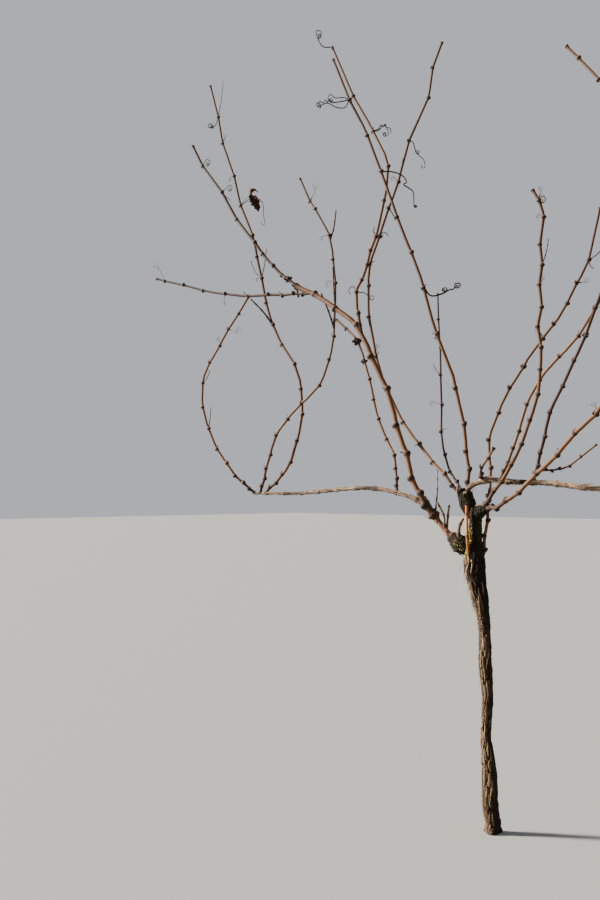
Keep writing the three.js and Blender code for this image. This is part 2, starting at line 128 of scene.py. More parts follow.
# One-year canes. Each leaves its limb at a foot, or at a part of the limb's length, and
# follows its path to a trimmed tip; thick gives its foot and tip. Where a cane has marked
# bends, the last ones before its tip are joints, and hand gives the first one's bud side.
CANE_DEFAULTS = {"twigs": 0.13, "curls": 0.16, "sprig": None, "marked": 0, "hand": 1}
CANES = [
    {"name": "left_bough", "on": "left_arm", "foot": (-0.192, -0.018, 0.872),
     "thick": (0.014, 0.0105), "joint": 0.105, "twigs": 0, "sprig": (0.84, 0.125, 1),
     "path": [(-0.235, -0.03, 0.93), (-0.36, -0.03, 1.24), (-0.475, -0.04, 1.44),
              (-0.595, -0.04, 1.52), (-0.71, -0.045, 1.575)]},
    {"name": "left_bough_end", "on": "left_bough", "part": 0.985,
     "thick": (0.0095, 0.0055), "joint": 0.082, "marked": 4,
     "path": [(-0.805, -0.045, 1.645), (-0.89, -0.05, 1.735), (-0.975, -0.05, 1.825),
              (-1.04, -0.055, 1.92), (-1.135, -0.055, 2.025), (-1.18, -0.06, 2.1)]},
    {"name": "left_side_cane", "on": "left_bough", "part": 0.93,
     "thick": (0.008, 0.0045), "joint": 0.090,
     "path": [(-0.78, -0.06, 1.555), (-0.96, -0.095, 1.57), (-1.26, -0.15, 1.65)]},
    {"name": "left_tall_cane", "on": "left_bough", "part": 0.645,
     "thick": (0.0095, 0.005), "joint": 0.104, "marked": 9, "twigs": 0, "curls": 0,
     "path": [(-0.475, -0.03, 1.535), (-0.455, -0.025, 1.57), (-0.44, -0.02, 1.615),
              (-0.425, -0.02, 1.655), (-0.41, -0.015, 1.695), (-0.385, -0.005, 1.8),
              (-0.38, 0.005, 1.9), (-0.445, 0.015, 2.02), (-0.535, 0.025, 2.145),
              (-0.635, 0.04, 2.325)]},
    {"name": "left_short_cane", "on": "left_fruiting_cane", "part": 0.195,
     "thick": (0.008, 0.005), "joint": 0.066,
     "path": [(-0.37, 0.02, 1.045), (-0.435, 0.03, 1.145), (-0.48, 0.04, 1.27),
              (-0.54, 0.05, 1.4), (-0.635, 0.06, 1.475)]},
    {"name": "left_end_cane", "on": "left_fruiting_cane", "part": 0.925,
     "thick": (0.009, 0.005), "joint": 0.084, "marked": 5, "curls": 0,
     "sprig": (0.5, 0.082, -1),
     "path": [(-0.8, 0.01, 1.015), (-0.745, 0.015, 1.165), (-0.76, 0.02, 1.3),
              (-0.89, 0.03, 1.48), (-0.99, 0.035, 1.785), (-1.05, 0.04, 1.895),
              (-1.09, 0.045, 2.0), (-1.15, 0.05, 2.125), (-1.18, 0.055, 2.22),
              (-1.225, 0.06, 2.34)]},
    {"name": "left_bowed_cane", "on": "left_fruiting_cane", "part": 0.985,
     "thick": (0.008, 0.005), "joint": 0.078,
     "path": [(-1.005, -0.03, 0.99), (-1.1, -0.06, 1.14), (-1.11, -0.08, 1.29),
              (-0.995, -0.11, 1.405), (-0.825, -0.14, 1.545)]},
    {"name": "left_leaning_cane", "on": "left_fruiting_cane", "part": 0.955,
     "thick": (0.0085, 0.0045), "joint": 0.080, "marked": 2,
     "path": [(-0.8, -0.03, 1.13), (-0.62, -0.02, 1.285), (-0.6, 0.01, 1.44),
              (-0.63, 0.025, 1.72), (-0.695, 0.025, 1.825), (-0.72, 0.03, 1.855),
              (-0.765, 0.03, 1.935)]},
    {"name": "head_bent_cane", "on": "trunk", "foot": (-0.104, -0.006, 0.928),
     "thick": (0.009, 0.005), "joint": 0.116, "marked": 9, "hand": -1, "twigs": 0, "curls": 0,
     "path": [(-0.155, -0.01, 0.98), (-0.3, 0.01, 1.11), (-0.405, 0.015, 1.265),
              (-0.465, 0.02, 1.465), (-0.475, 0.025, 1.56), (-0.465, 0.025, 1.625),
              (-0.435, 0.03, 1.705), (-0.4, 0.035, 1.785), (-0.37, 0.04, 1.86),
              (-0.33, 0.045, 1.975), (-0.265, 0.05, 2.09), (-0.25, 0.055, 2.175),
              (-0.22, 0.06, 2.245)]},
    {"name": "head_straight_cane", "on": "trunk", "foot": (-0.092, 0.012, 0.925),
     "thick": (0.010, 0.005), "joint": 0.114, "marked": 7, "twigs": 0, "curls": 0,
     "path": [(-0.1, 0.02, 1.025), (-0.135, 0.005, 1.25), (-0.185, -0.015, 1.385),
              (-0.22, -0.025, 1.52), (-0.265, -0.03, 1.625), (-0.31, -0.035, 1.735),
              (-0.37, -0.04, 1.875), (-0.415, -0.045, 1.99), (-0.48, -0.055, 2.105),
              (-0.54, -0.06, 2.24)]},
    {"name": "head_thin_cane", "on": "trunk", "foot": (-0.104, 0.014, 0.922),
     "thick": (0.0065, 0.0035), "joint": 0.084,
     "path": [(-0.2, 0.045, 1.04), (-0.24, 0.08, 1.28), (-0.275, 0.11, 1.525)]},
    {"name": "head_spur", "on": "right_fruiting_cane", "part": 0.075,
     "thick": (0.007, 0.005), "joint": 0.055, "twigs": 0,
     "path": [(-0.015, -0.035, 0.995), (0.045, -0.06, 1.055)]},
    {"name": "water_shoot", "on": "trunk", "foot": (-0.042, 0.006, 0.722),
     "thick": (0.009, 0.005), "joint": 0.076, "marked": 5, "curls": 0,
     "path": [(-0.035, 0.02, 0.85), (-0.03, 0.03, 0.96), (-0.035, 0.04, 1.105),
              (0.06, 0.055, 1.28), (0.12, 0.06, 1.355), (0.155, 0.065, 1.39),
              (0.19, 0.07, 1.445), (0.22, 0.075, 1.495), (0.25, 0.08, 1.555),
              (0.28, 0.09, 1.69)]},
    {"name": "right_upright_cane", "on": "trunk", "foot": (-0.030, -0.010, 0.886),
     "thick": (0.010, 0.0055), "joint": 0.066, "marked": 8, "curls": 0,
     "path": [(0.015, -0.025, 0.93), (0.085, -0.03, 1.015), (0.16, -0.025, 1.195),
              (0.17, -0.025, 1.32), (0.165, -0.03, 1.375), (0.175, -0.03, 1.425),
              (0.17, -0.03, 1.485), (0.18, -0.035, 1.535), (0.175, -0.035, 1.59),
              (0.185, -0.035, 1.66), (0.175, -0.04, 1.705), (0.155, -0.04, 1.735)]},
    {"name": "right_leaning_cane", "on": "right_fruiting_cane", "part": 0.135,
     "thick": (0.0085, 0.005), "joint": 0.082,
     "path": [(0.05, 0.02, 1.05), (0.115, 0.035, 1.225), (0.245, 0.05, 1.36),
              (0.385, 0.07, 1.6), (0.455, 0.09, 1.83)]},
    {"name": "right_outer_cane", "on": "right_fruiting_cane", "part": 0.245,
     "thick": (0.0085, 0.005), "joint": 0.078,
     "path": [(0.17, -0.025, 1.04), (0.215, -0.045, 1.15), (0.3, -0.075, 1.265),
              (0.39, -0.11, 1.405), (0.52, -0.15, 1.7)]},
    {"name": "right_bough", "on": "trunk", "foot": (-0.010, -0.015, 0.890),
     "thick": (0.0115, 0.007), "joint": 0.084,
     "path": [(0.055, -0.045, 0.9), (0.175, -0.065, 0.975), (0.33, -0.095, 1.095),
              (0.4, -0.11, 1.15), (0.61, -0.165, 1.455)]},
    {"name": "right_bough_twig", "on": "right_bough", "part": 0.28,
     "thick": (0.005, 0.0035), "joint": 0.042, "twigs": 0,
     "path": [(0.26, -0.05, 1.0), (0.33, -0.01, 1.06)]},
    {"name": "right_crossing_cane", "on": "right_fruiting_cane", "part": 0.69,
     "thick": (0.0095, 0.005), "joint": 0.088,
     "path": [(0.59, -0.015, 1.15), (0.575, -0.045, 1.56), (0.47, -0.085, 1.85),
              (0.295, -0.1, 2.065)]},
]

# The far end of the right fruiting cane: canes spaced evenly along it, by a seeded rule.
FAR_CANES = {"count": 5, "first": 0.5, "step": 0.117, "thick": (0.0085, 0.005), "joint": 0.084,
             "seed": 41, "rise": (0.760, 1.230), "lean": (-0.010, 0.210),
             "across": (0.025, 0.130), "near_side": -0.45, "bow": (-0.055, 0.055),
             "bends": ((0.3, 0.7), (0.65, 1.0), (1.0, 0.0))}

# Seeded numbers from 0 to 1, the same in every run.
SEED_FACTOR = 48271
SEED_MODULUS = 2147483647

ARC_STEPS = 200
TANGENT_STEP = 0.0001

# Rings of the fine tubes: close together at a joint, in its radii, further apart between.
JOINT_RINGS = (0.0, 0.22, 0.45, 0.75, 1.15, 1.7, 2.5)
PLAIN_STEP = 0.012
LEAST_STEP = 0.05
SWELL_BELOW = 1.5
SWELL_ABOVE = 0.85
JOINT_SWELL = (1.75, 1.3)
SWELL_RANGE = (0.0026, 0.0058)
FOOT_SWELL = 0.25
TIP_SWELL = 0.4
CANE_FULLNESS = (1.05, 1.4)

# A cane's foot is dark for a short run. On these two some of it is hidden in the head, and the dark
# run reaches further out as painted shade from the head.
SHADED_FEET = {"right_bough": 0.05, "right_upright_cane": 0.03}

# Buds and leaf scars, in the joint's radii. A thin joint's bud is smaller.
BUD_LEAN = 0.75
BUD_SUNK = 0.55
BUD_FULL_ON = 0.0045
BUD_SIZE = (0.45, 1.0)
SCAR_BELOW = 0.75
SCAR_OUT = 1.12
SCAR_DROOP = 0.35
SCAR_SIZE = {"Width": 0.0048, "Length": 0.0017, "Point": 0.2}
BUD_POINT = 0.82

# The trunk's foot flares into three lobes, and its sides are lumpy above.
FLARE = {"height": 0.06, "depth": 0.16, "lobes": 3, "turn": 0.6, "tuck": 0.18}
LUMPS = {"depth": 0.06, "pitch": 0.047}
TRUNK_ACROSS = (0.31, 1.0, 0.0)
TRUNK_SIDES = 64
TRUNK_RINGS = 300
SHELL_ACROSS = (0.31, 1.0, 0.17)
SHELL_SIDES = 28
FLAT_CUT = 0.0015
BARK_FROM = 0.002

# The trunk's head is knobbly with short old stubs: foot, end and half thickness.
HEAD_STUBS = [
    ((-0.045, -0.01, 0.88), (-0.04, -0.015, 0.9), 0.007),
    ((-0.02, -0.01, 0.885), (-0.015, -0.02, 0.9), 0.006),
    ((-0.09, -0.005, 0.91), (-0.08, -0.02, 0.935), 0.006),
    ((-0.095, 0.005, 0.925), (-0.11, 0.02, 0.94), 0.005),
    ((-0.06, 0.01, 0.86), (-0.05, 0.03, 0.88), 0.006),
]
STUB_FLARE = 1.15
KNOBS = {"seed": 77, "count": 42, "above": 0.785, "radius": (0.0035, 0.0085), "sunk": 0.35,
         "pole": 0.08, "rings": 9, "sides": 16}

# Heights between which the trunk's weathering and its painted shade fade in, and out where there are
# two pairs.
HEAD_RISE = (0.74, 0.81)
# Below the head, the upper trunk is darkened as painted shade, except on its lit left side.
UPPER_SHADE_RISE = (0.58, 0.72)
SHOULDER = ((0.60, 0.68), (0.74, 0.80))
LICHEN_BAND = ((0.745, 0.765), (0.80, 0.86))
SHAGGY_BAND = ((0.09, 0.20), (0.80, 0.86))
LICHEN_PITCH = 150.0
LICHEN_MIDDLE = (-0.09, -0.02, 0.775)
LICHEN_REACH = (0.02, 0.045)
MASK_STEPS = 60

# Ways that the trunk's sides face, along the row and across it, for its masks.
LEFT_WAY = (-1.0, -0.3)
RIGHT_WAY = (0.75, 0.5)
# The side facing away from the key light is darkened as painted shade.
SHADED_WAY = (0.72, 0.69)
SHADE_RISE = (-0.3, 0.5)
LEFT_LIT = (0.25, 0.75)
LEFT_LICHEN = (0.2, 0.7)
TOP_RISE = (0.4, 0.8)
PAINTED_SHADE = 0.85
MOSS_BY_SIDE = (0.04, 0.64)
MOSS_BY_SLOPE = (0.4, 1.0)
SHAG_LEAST = 0.1
SHAG_BY_SIDE = (0.1, 1.3)

# The arm's masks by its length: strength near the head and the parts between which it
# fades, then strength at the knot and the parts between which that comes in.
ARM_MASKS = {"damp": ((1.0, 0.42, 0.54), (0.6, 0.78, 0.86)),
             "moss": ((0.2, 0.2, 0.4), (0.0, 0.8, 0.9)),
             "shag": ((0.6, 0.3, 0.42), (0.25, 0.8, 0.9))}

# Damp stains come back along the fruiting canes, which are less shaggy towards their ends.
STAIN = {"depth": 0.75, "pitch": 15.0, "edge": (0.3, 0.9)}
SHAG_LOSS = 0.6

# Cut faces are thin discs, a share of the wood's own half thickness.
CUT_SHARE = 0.82
SPUR_CUT_SHARE = 0.86
CUT_EDGE = 0.88
CUT_STEPS = (-0.0012, 0.0, 0.0006)

# Small growth is given as walks: straight stretches, each a length and a heading in degrees.
# Heading 0 is level, along WALK_LEVEL, and 90 is straight up. A curl then turns with a
# radius, for a number of turns, to one hand, and drifts across the walk.
WALK_LEVEL = (0.72, 0.69, 0.0)
CURL = {"steps": 8, "shrink": 0.96, "drift": 0.0016, "seed": 33, "uneven": (0.6, 1.5)}
WALK_RINGS = 20
WALK_STEP = 0.0025
TWIG_STEP = 0.003
TWIG_RINGS = 8

# Short pruned spurs and thin stems on the arm, its knot and the head: foot, walk, thickness.
SPURS = [
    ((-0.16, -0.01, 0.83), [(0.035, 90), (0.045, 115)], (0.0068, 0.006)),
    ((-0.155, -0.005, 0.825), [(0.035, 85), (0.04, 85)], (0.0072, 0.0064)),
    ((-0.195, -0.005, 0.875), [(0.065, 85), (0.06, 90)], (0.0048, 0.0032)),
    ((-0.1, -0.01, 0.915), [(0.02, 120), (0.02, 90)], (0.0072, 0.0064)),
    ((-0.11, -0.01, 0.805), [(0.035, 85), (0.025, 65)], (0.0105, 0.0085)),
    ((-0.2, -0.005, 0.87), [(0.02, 110), (0.04, 120)], (0.0084, 0.0072)),
]
SPUR_RINGS = 26
SPUR_KNOTS = {"step": 0.0035, "every": 8.0, "swell": 0.3}

# The plainest dried tendrils, by cane: the joint, counted back from the tip, the thickness,
# the walk and the curl. They are drawn a little fuller, and thinner towards their ends.
TENDRIL_FULLNESS = 1.7
TENDRIL_END = 0.7
SEEN_TENDRILS = {
    "left_tall_cane": [
        (0, 0.002, [(0.03, 175), (0.05, 115)], (0.008, 2.8, -1)),
        (2, 0.0018, [(0.015, 5), (0.025, 45), (0.03, -65)], (0.0075, 2.4, -1)),
        (2, 0.0022, [(0.02, 25), (0.01, 75), (0.012, -25), (0.01, 65), (0.012, -70), (0.01, -10),
                     (0.015, -75)], None),
        (5, 0.002, [(0.03, 20), (0.015, -50)], None),
        (5, 0.0018, [(0.018, -15)], (0.006, 0.5, 1)),
        (5, 0.002, [(0.02, 110), (0.01, 60)], None),
        (9, 0.0018, [(0.015, 110)], (0.01, 0.6, 1)),
        (9, 0.002, [(0.03, -10), (0.025, -50)], (0.007, 0.7, 1)),
    ],
    "head_straight_cane": [
        (1, 0.0018, [(0.015, 150), (0.03, 180), (0.015, 140)], (0.008, 2.2, 1)),
        (1, 0.002, [(0.025, 240), (0.025, 180), (0.03, 155), (0.03, 200)], (0.0065, 2.8, -1)),
        (1, 0.0022, [(0.055, 186), (0.01, 110), (0.012, 240), (0.01, 130), (0.012, 235),
                     (0.01, 150), (0.015, 215)], None),
        (3, 0.0026, [(0.03, 0), (0.025, -15), (0.02, -35), (0.015, -70), (0.01, -150),
                     (0.02, -35), (0.015, -40), (0.045, -85)], (0.0045, 1.4, 1)),
        (6, 0.003, [(0.03, -50), (0.035, 10), (0.02, 30), (0.015, 15), (0.015, 75), (0.012, 0)],
         (0.0055, 1.5, -1)),
        (6, 0.003, [(0.03, -50), (0.035, 12), (0.015, 40)], (0.0055, 1.4, 1)),
        (7, 0.0022, [(0.012, -40)], (0.005, 1.6, -1)),
    ],
    "head_bent_cane": [
        (3, 0.0018, [(0.01, -20), (0.035, -70), (0.03, -45), (0.02, -80)], (0.005, 0.8, -1)),
        (3, 0.0018, [(0.01, -20), (0.035, -72)], (0.006, 1.4, 1)),
        (5, 0.0022, [(0.03, -60), (0.012, -75)], None),
    ],
    "left_end_cane": [
        (1, 0.002, [(0.03, 250), (0.02, 200)], (0.008, 2.8, -1)),
        (4, 0.0018, [(0.035, 35), (0.025, 10), (0.025, -40), (0.045, -85), (0.025, -80)],
         (0.006, 0.6, -1)),
    ],
    "left_bough_end": [
        (1, 0.0016, [(0.025, 60)], (0.0075, 2.2, -1)),
        (2, 0.0016, [(0.035, 45)], (0.007, 1.8, -1)),
        (2, 0.0016, [(0.02, -45), (0.018, -40)], None),
    ],
    "right_upright_cane": [
        (1, 0.0018, [(0.014, 50)], (0.007, 1.8, -1)),
    ],
    "water_shoot": [
        (0, 0.0018, [(0.02, 80)], (0.009, 1.1, -1)),
        (1, 0.0018, [(0.02, -70), (0.01, -30)], None),
    ],
}

# Side shoots that show plainly: the cane, the joint, the thickness and the walk.
SEEN_TWIGS = [
    ("left_leaning_cane", 3, (0.0055, 0.004), [(0.03, 72), (0.03, 80), (0.035, 84)]),
    ("left_leaning_cane", 4, (0.0065, 0.0045), [(0.055, 108), (0.06, 112)]),
    ("left_end_cane", 6, (0.0065, 0.0045), [(0.05, 126), (0.06, 134)]),
    ("left_bough", 0, (0.006, 0.005), [(0.02, -75), (0.015, -80)]),
]

# A twig's own small joints, along its length.
TWIG_KNOTS = {"start": 0.012, "every": 0.028, "width": 0.09, "swell": 0.35}

# Knotty joints bristle with cut stubs: the cane, the joint's height and the stubs' reach.
# Each stub has a heading and a share of the reach, bends, and thins out from a stout foot.
KNOTTY_JOINTS = [("left_short_cane", 1.42, 0.018), ("left_short_cane", 1.36, 0.012),
                 ("left_bough_end", 1.6, 0.015), ("right_bough", 1.15, 0.011),
                 ("right_outer_cane", 1.31, 0.01), ("water_shoot", 1.28, 0.01)]
KNOT_STUBS = [(20, 0.9), (75, 0.6), (125, 0.8), (170, 1.0), (225, 0.8), (290, 0.7)]
KNOT_BEND = 25
KNOT_TAPER = (0.36, 0.3, 0.22)

# The dead leaf hangs from a joint by a stalk. Its two blades are one that hangs down and one
# that is curled over the top; widths are half widths along the rib.
LEAF = {"on": "left_end_cane", "joint": 4, "stalk": [(0.02, 55), (0.025, 45)],
        "stalk_thick": (0.0022, 0.0016), "rings": 26, "sides": 13, "thick": 0.0009,
        "ragged": 0.35, "rags": (41.0, 17.0), "phase": 0.6, "wave": 0.32, "waves": (6.0, 13.0),
        "dish": 1.4}
LEAF_BLADES = [
    {"walk": [(0.02, -45), (0.02, -60), (0.025, -75)], "fold": 0.7, "across": (0.9, 0.6, 0.25),
     "widths": (0.004, 0.013, 0.0155, 0.011, 0.001)},
    {"walk": [(0.02, 85), (0.015, 10), (0.018, -45)], "fold": 0.9, "across": (0.4, -0.9, 0.1),
     "widths": (0.004, 0.008, 0.009, 0.007, 0.001)},
]

# Growth's patterns: pitches as repeats in a metre or a plate, shares and sizes.
RIB_RUN = 9.0
STRAY_PITCH = 26.0
STRAY_REACH = 0.009
FIBRE_PITCH = 3.3
CRACK_WIDTH = 0.2
PLATE_UNEVEN = 0.65
STRIP_STRAY = 0.16
STRIP_TAPER = (3.0, 0.75)
STRIP_SWAY = 5.0
STRIP_BOW = 2.2
STRIP_SIZES = ((0.35, 0.5, 0.1), (1.5, 1.4, 1.5))
TUFT_SIZES = (0.35, 1.2)
BUD_FLATNESS = 0.82
BUD_TAPER = 1.6

# The finishes' patterns, as repeats in a metre, and the depths of their bumps.
BARK_GRAIN = (900.0, 900.0, 70.0)
BARK_PATCHES = 34.0
BARK_FLECKS = 300.0
MOSS_SPECKLE = 420.0
CANE_LINES = 9.0
CANE_LINE_RUN = 14.0
CANE_PATCHES = 16.0
CANE_FLECKS = 900.0
CUT_GRAIN = (900.0, 900.0, 40.0)
CUT_STAINS = 60.0
BARK_BUMP = 0.0011
CANE_BUMP = 0.0005
FINE_BUMP = 0.0003

# How the finishes are mixed. A tint is a factor and a shift by channel, stops are places on
# a ramp from dark to pale, and an edge is a pair of values between which a tone comes in.
PLATE_SHARE = 0.45
FIBRE_SHARE = 0.75
BARK_STOPS = (0.25, 0.55, 0.85)
BARK_SHADE = 0.55
BARK_BROWN = (0.7, (1.0, 0.97, 0.92))
BROWN_EDGE = (0.35, 0.7)
BROWN_SHARE = 0.6
CRACK_EDGE = (0.02, 0.42)
CRACK_HEIGHT = 0.6
MOSS_EDGE = (0.4, 0.62)
BARK_FLECK = (1.25, (1.0, 1.08, 1.15))
BARK_FLECK_EDGE = (0.60, 0.68)
CANE_STOPS = (0.3, 0.52, 0.74)
CANE_SHADE = 0.62
CANE_WEATHERED = (0.72, (0.95, 1.0, 1.12))
WEATHERED_EDGE = (0.48, 0.72)
WEATHERED_SHARE = 0.55
CANE_FLECK_EDGE = (0.64, 0.7)
FLECK_SHARE = 0.6
CANE_FAR = (0.3, (1.0, 0.9, 1.1))
FAR_SHARE = 0.6
FOOT_SHARE = 0.85
JOINT_EDGE = (0.15, 0.8)
JOINT_SHARE = 0.92
SPECKLE_EDGE = (0.4, 0.65)
CUT_STOPS = (0.3, 0.6, 0.8)
CUT_SHADES = (0.75, 1.2)
STAIN_EDGE = (0.5, 0.75)
STAIN_SHARE = 0.6

# Dry bark and weathered wood hardly shine. A cane is darker near its foot and far from it.
DULLNESS = 0.1
FOOT_RUN = (0.0, 0.12)
FAR_RUN = (0.25, 0.9)

# Tints of the one-year canes, dealt out by cane; the last is for the dark ones.
CANE_TINTS = [(1.0, (1.0, 1.0, 1.0)), (0.85, (1.0, 0.95, 0.9)), (1.2, (1.0, 1.02, 1.05)),
              (0.95, (1.0, 1.08, 1.25)), (0.32, (1.0, 0.95, 1.1))]
DARK_CANES = ("left_bough_end", "left_side_cane", "head_thin_cane", "right_outer_cane")

FLOOR_SIZE = 60.0
FLOOR_DROP = 0.0005

# Each lamp's place, its width in degrees, its share of the key light's strength and colour.
LAMPS = {"Key light": ((-0.87, -0.54, 0.46), 9.0, 1.0, (1.0, 0.92, 0.8)),
         "Fill light": ((0.9, 0.35, 0.35), 40.0, 0.006, (0.86, 0.92, 1.0))}

# The camera stands at the height of the fruiting canes and looks level across the row.
SENSOR = 36.0
CAMERA_PLACE = (2.0014, -2.8467, 0.95)
CAMERA_WAY = (-0.693, 0.7206, 0.0)
CAMERA_SHIFT = 37 / 900


def seeded_random(seed):
    """Gives a function that draws the next number from 0 to 1."""
    state = (seed * SEED_FACTOR) % SEED_MODULUS

    def draw():
        nonlocal state
        state = (state * SEED_FACTOR) % SEED_MODULUS
        return state / SEED_MODULUS

    return draw


def between(ends, share):
    """The number at a share of the way from the first end to the second."""
    return ends[0] + (ends[1] - ends[0]) * share


def unit(vector):
    """The vector at length 1."""
    return vector / np.linalg.norm(vector)


def smooth_step(value, low, high):
    """Rises smoothly from 0 at low to 1 at high."""
    share = np.clip((value - low) / (high - low), 0.0, 1.0)
    return share * share * (3.0 - 2.0 * share)


def runs_of(places):
    """The length along a chain of places, up to each of them."""
    steps = np.linalg.norm(np.diff(places, axis=0), axis=1)
    return np.concatenate([[0.0], np.cumsum(steps)])


class Line:
    """A smooth line through points, which can be read by share or by length."""

    def __init__(self, points):
        self.points = np.array(points, float)
        self.shares = np.linspace(0.0, 1.0, ARC_STEPS + 1)
        self.runs = runs_of(np.array([self.point(share) for share in self.shares]))
        self.length = self.runs[-1]

    def point(self, share):
        """The place at a share of the stretches between the points."""
        points = self.points
        last = len(points) - 1
        low = min(int(math.floor(share * last)), last - 1)
        weight = share * last - low
        start = points[low]
        end = points[low + 1]
        before = points[low - 1] if low > 0 else 2 * points[0] - points[1]
        after = points[low + 2] if low + 2 <= last else 2 * points[last] - points[last - 1]
        into, through, out = (np.linalg.norm(b - a) ** 0.5
                              for a, b in ((before, start), (start, end), (end, after)))
        ahead = (end - start) / through
        leave = ((start - before) / into - (end - before) / (into + through) + ahead) * through
        arrive = (ahead - (after - start) / (through + out) + (after - end) / out) * through
        square = -3 * start + 3 * end - 2 * leave - arrive
        cube = 2 * start - 2 * end + leave + arrive
        return start + leave * weight + square * weight ** 2 + cube * weight ** 3

    def share_at(self, part):
        """The share of the stretches at a part of the length."""
        return float(np.interp(part * self.length, self.runs, self.shares))

    def point_at(self, part):
        """The place at a part of the length."""
        return self.point(self.share_at(part))

    def way_at(self, part):
        """The direction at a part of the length."""
        share = self.share_at(part)
        low = max(share - TANGENT_STEP, 0.0)
        high = min(share + TANGENT_STEP, 1.0)
        return unit(self.point(high) - self.point(low))

    def samples(self, radius):
        """Places along the line, each with the half thickness, that twigs keep clear of."""
        count = math.ceil(self.length / SAMPLE_STEP)
        return [(self.point_at(order / count), radius) for order in range(count + 1)]


def walked(foot, stretches, curl=None):
    """The places along a walk of straight stretches, with a curl at its end."""
    places = [np.array(foot, float)]
    level = unit(np.array(WALK_LEVEL))
    up = np.array((0.0, 0.0, 1.0))
    across = np.cross(up, level)

    def go_on(length, heading):
        turn = math.radians(heading)
        places.append(places[-1] + (level * math.cos(turn) + up * math.sin(turn)) * length)

    for length, heading in stretches:
        go_on(length, heading)
    if curl:
        radius, turns, hand = curl
        draw = seeded_random(CURL["seed"])
        chord = 2 * radius * math.sin(math.pi / CURL["steps"])
        for step in range(round(turns * CURL["steps"])):
            heading += hand * 360 / CURL["steps"] * between(CURL["uneven"], draw())
            go_on(chord * CURL["shrink"] ** step, heading)
            places[-1] = places[-1] + across * CURL["drift"] * between((-1.0, 2.0), draw())
    return places


class Cane:
    """A one-year cane: the places of its joints, side twigs and tendrils."""

    def __init__(self, seed, foot, settings):
        self.rule = {**CANE_DEFAULTS, **settings}
        self.name = settings["name"]
        self.thick = settings["thick"]
        self.joint = settings["joint"]
        self.line = Line([foot, *settings["path"]])
        self.length = self.line.length
        self.nodes = []
        self.twigs = []
        self.tendrils = []
        self.place_joints(seeded_random(seed))

    def radius(self, distance):
        """Half the thickness at a distance from the foot."""
        share = min(distance / self.length, 1.0) ** TAPER_POWER
        return between(self.thick, share) / 2

    def place_joints(self, draw):
        """Steps from joint to joint, buds on alternate sides, then marks the last bends."""
        turn = (draw() - 0.5) * BUD_PLANE_SPREAD
        marks = self.marked_joints()
        ruled_end = marks[0] - self.joint * MARK_ROOM if marks else self.length - TIP_STUB
        joint = self.joint * FIRST_JOINT
        distance = joint
        while distance < ruled_end:
            step = joint * (1 + (draw() - 0.5) * JOINT_SPREAD)
            self.add_joint(draw, turn, distance, step, 1 if len(self.nodes) % 2 else -1)
            joint = min(self.joint, joint * JOINT_GROWTH)
            distance += step
        hand = self.rule["hand"]
        for mark, after in zip(marks, [*marks[1:], self.length]):
            self.add_joint(draw, turn, mark, after - mark, hand)
            hand = -hand

    def marked_joints(self):
        """How far from the foot the marked bends are."""
        stretches = len(self.line.points) - 1
        marks = [float(np.interp(bend / stretches, self.line.shares, self.line.runs))
                 for bend in range(1, stretches)]
        return marks[len(marks) - self.rule["marked"]:]

    def add_joint(self, draw, turn, distance, step, hand):
        """Adds a joint with its bud's side and its draws for what grows on it."""
        part = min(distance / self.length, 1.0)
        along = self.line.way_at(part)
        side = unit(np.cross((0.0, 1.0, 0.0), along))
        bud = side * math.cos(turn) + np.cross(along, side) * math.sin(turn)
        radius = self.radius(distance)
        centre = self.line.point_at(part) + bud * hand * radius * ZIGZAG
        self.nodes.append({"distance": distance, "hand": hand, "centre": centre,
                           "radius": radius, "along": along, "bud": bud, "joint": step,
                           "twig_draw": draw(), "twig_share": draw(), "tendril_draw": draw()})

    def stations(self):
        """The middle of the cane at its foot, joints, waists and tip, with their distances."""
        rows = [(0.0, self.line.point_at(0.0))]
        for order, node in enumerate(self.nodes):
            rows.append((node["distance"], node["centre"]))
            if order + 1 < len(self.nodes):
                waist = node["distance"] + node["joint"] * WAIST_AT
                rows.append((waist, self.line.point_at(waist / self.length)))
        rows.append((self.length, self.line.point_at(1.0)))
        return rows

    def grow_side_twigs(self, room):
        """Adds the side twigs and tendrils that stay clear of all else."""
        for node in self.nodes:
            share = node["distance"] / self.length
            if share > TWIG["start"] and node["twig_draw"] < self.rule["twigs"]:
                reach = between(TWIG["reach"], node["twig_share"])
                room.keep(self.name, self.twigs, twig_path(node, reach, node["hand"]))
            if share > TENDRIL["start"] and node["tendril_draw"] < self.rule["curls"]:
                if room.keep(self.name, [], tendril_path(node, TENDRIL["steps"])):
                    self.tendrils.append((node, 1.0))
        if self.rule["sprig"]:
            at, reach, hand = self.rule["sprig"]
            nearest = min(self.nodes, key=lambda node: abs(node["distance"] - at * self.length))
            room.keep(self.name, self.twigs, twig_path(nearest, reach, hand))


def twig_path(node, reach, hand):
    """A side twig leaves beside its bud, leans out and turns up."""
    out = unit(node["bud"] * hand * TWIG["lean"] + node["along"])
    middle = node["centre"] + out * reach / 2
    lift = np.array((0.0, 0.0, reach * TWIG["lift"]))
    line = Line([node["centre"], middle, node["centre"] + out * reach * TWIG["run"] + lift])
    return [(line.point(share), node["radius"] * between(TWIG["thick"], share))
            for share in np.linspace(0.0, 1.0, TWIG["rings"])]


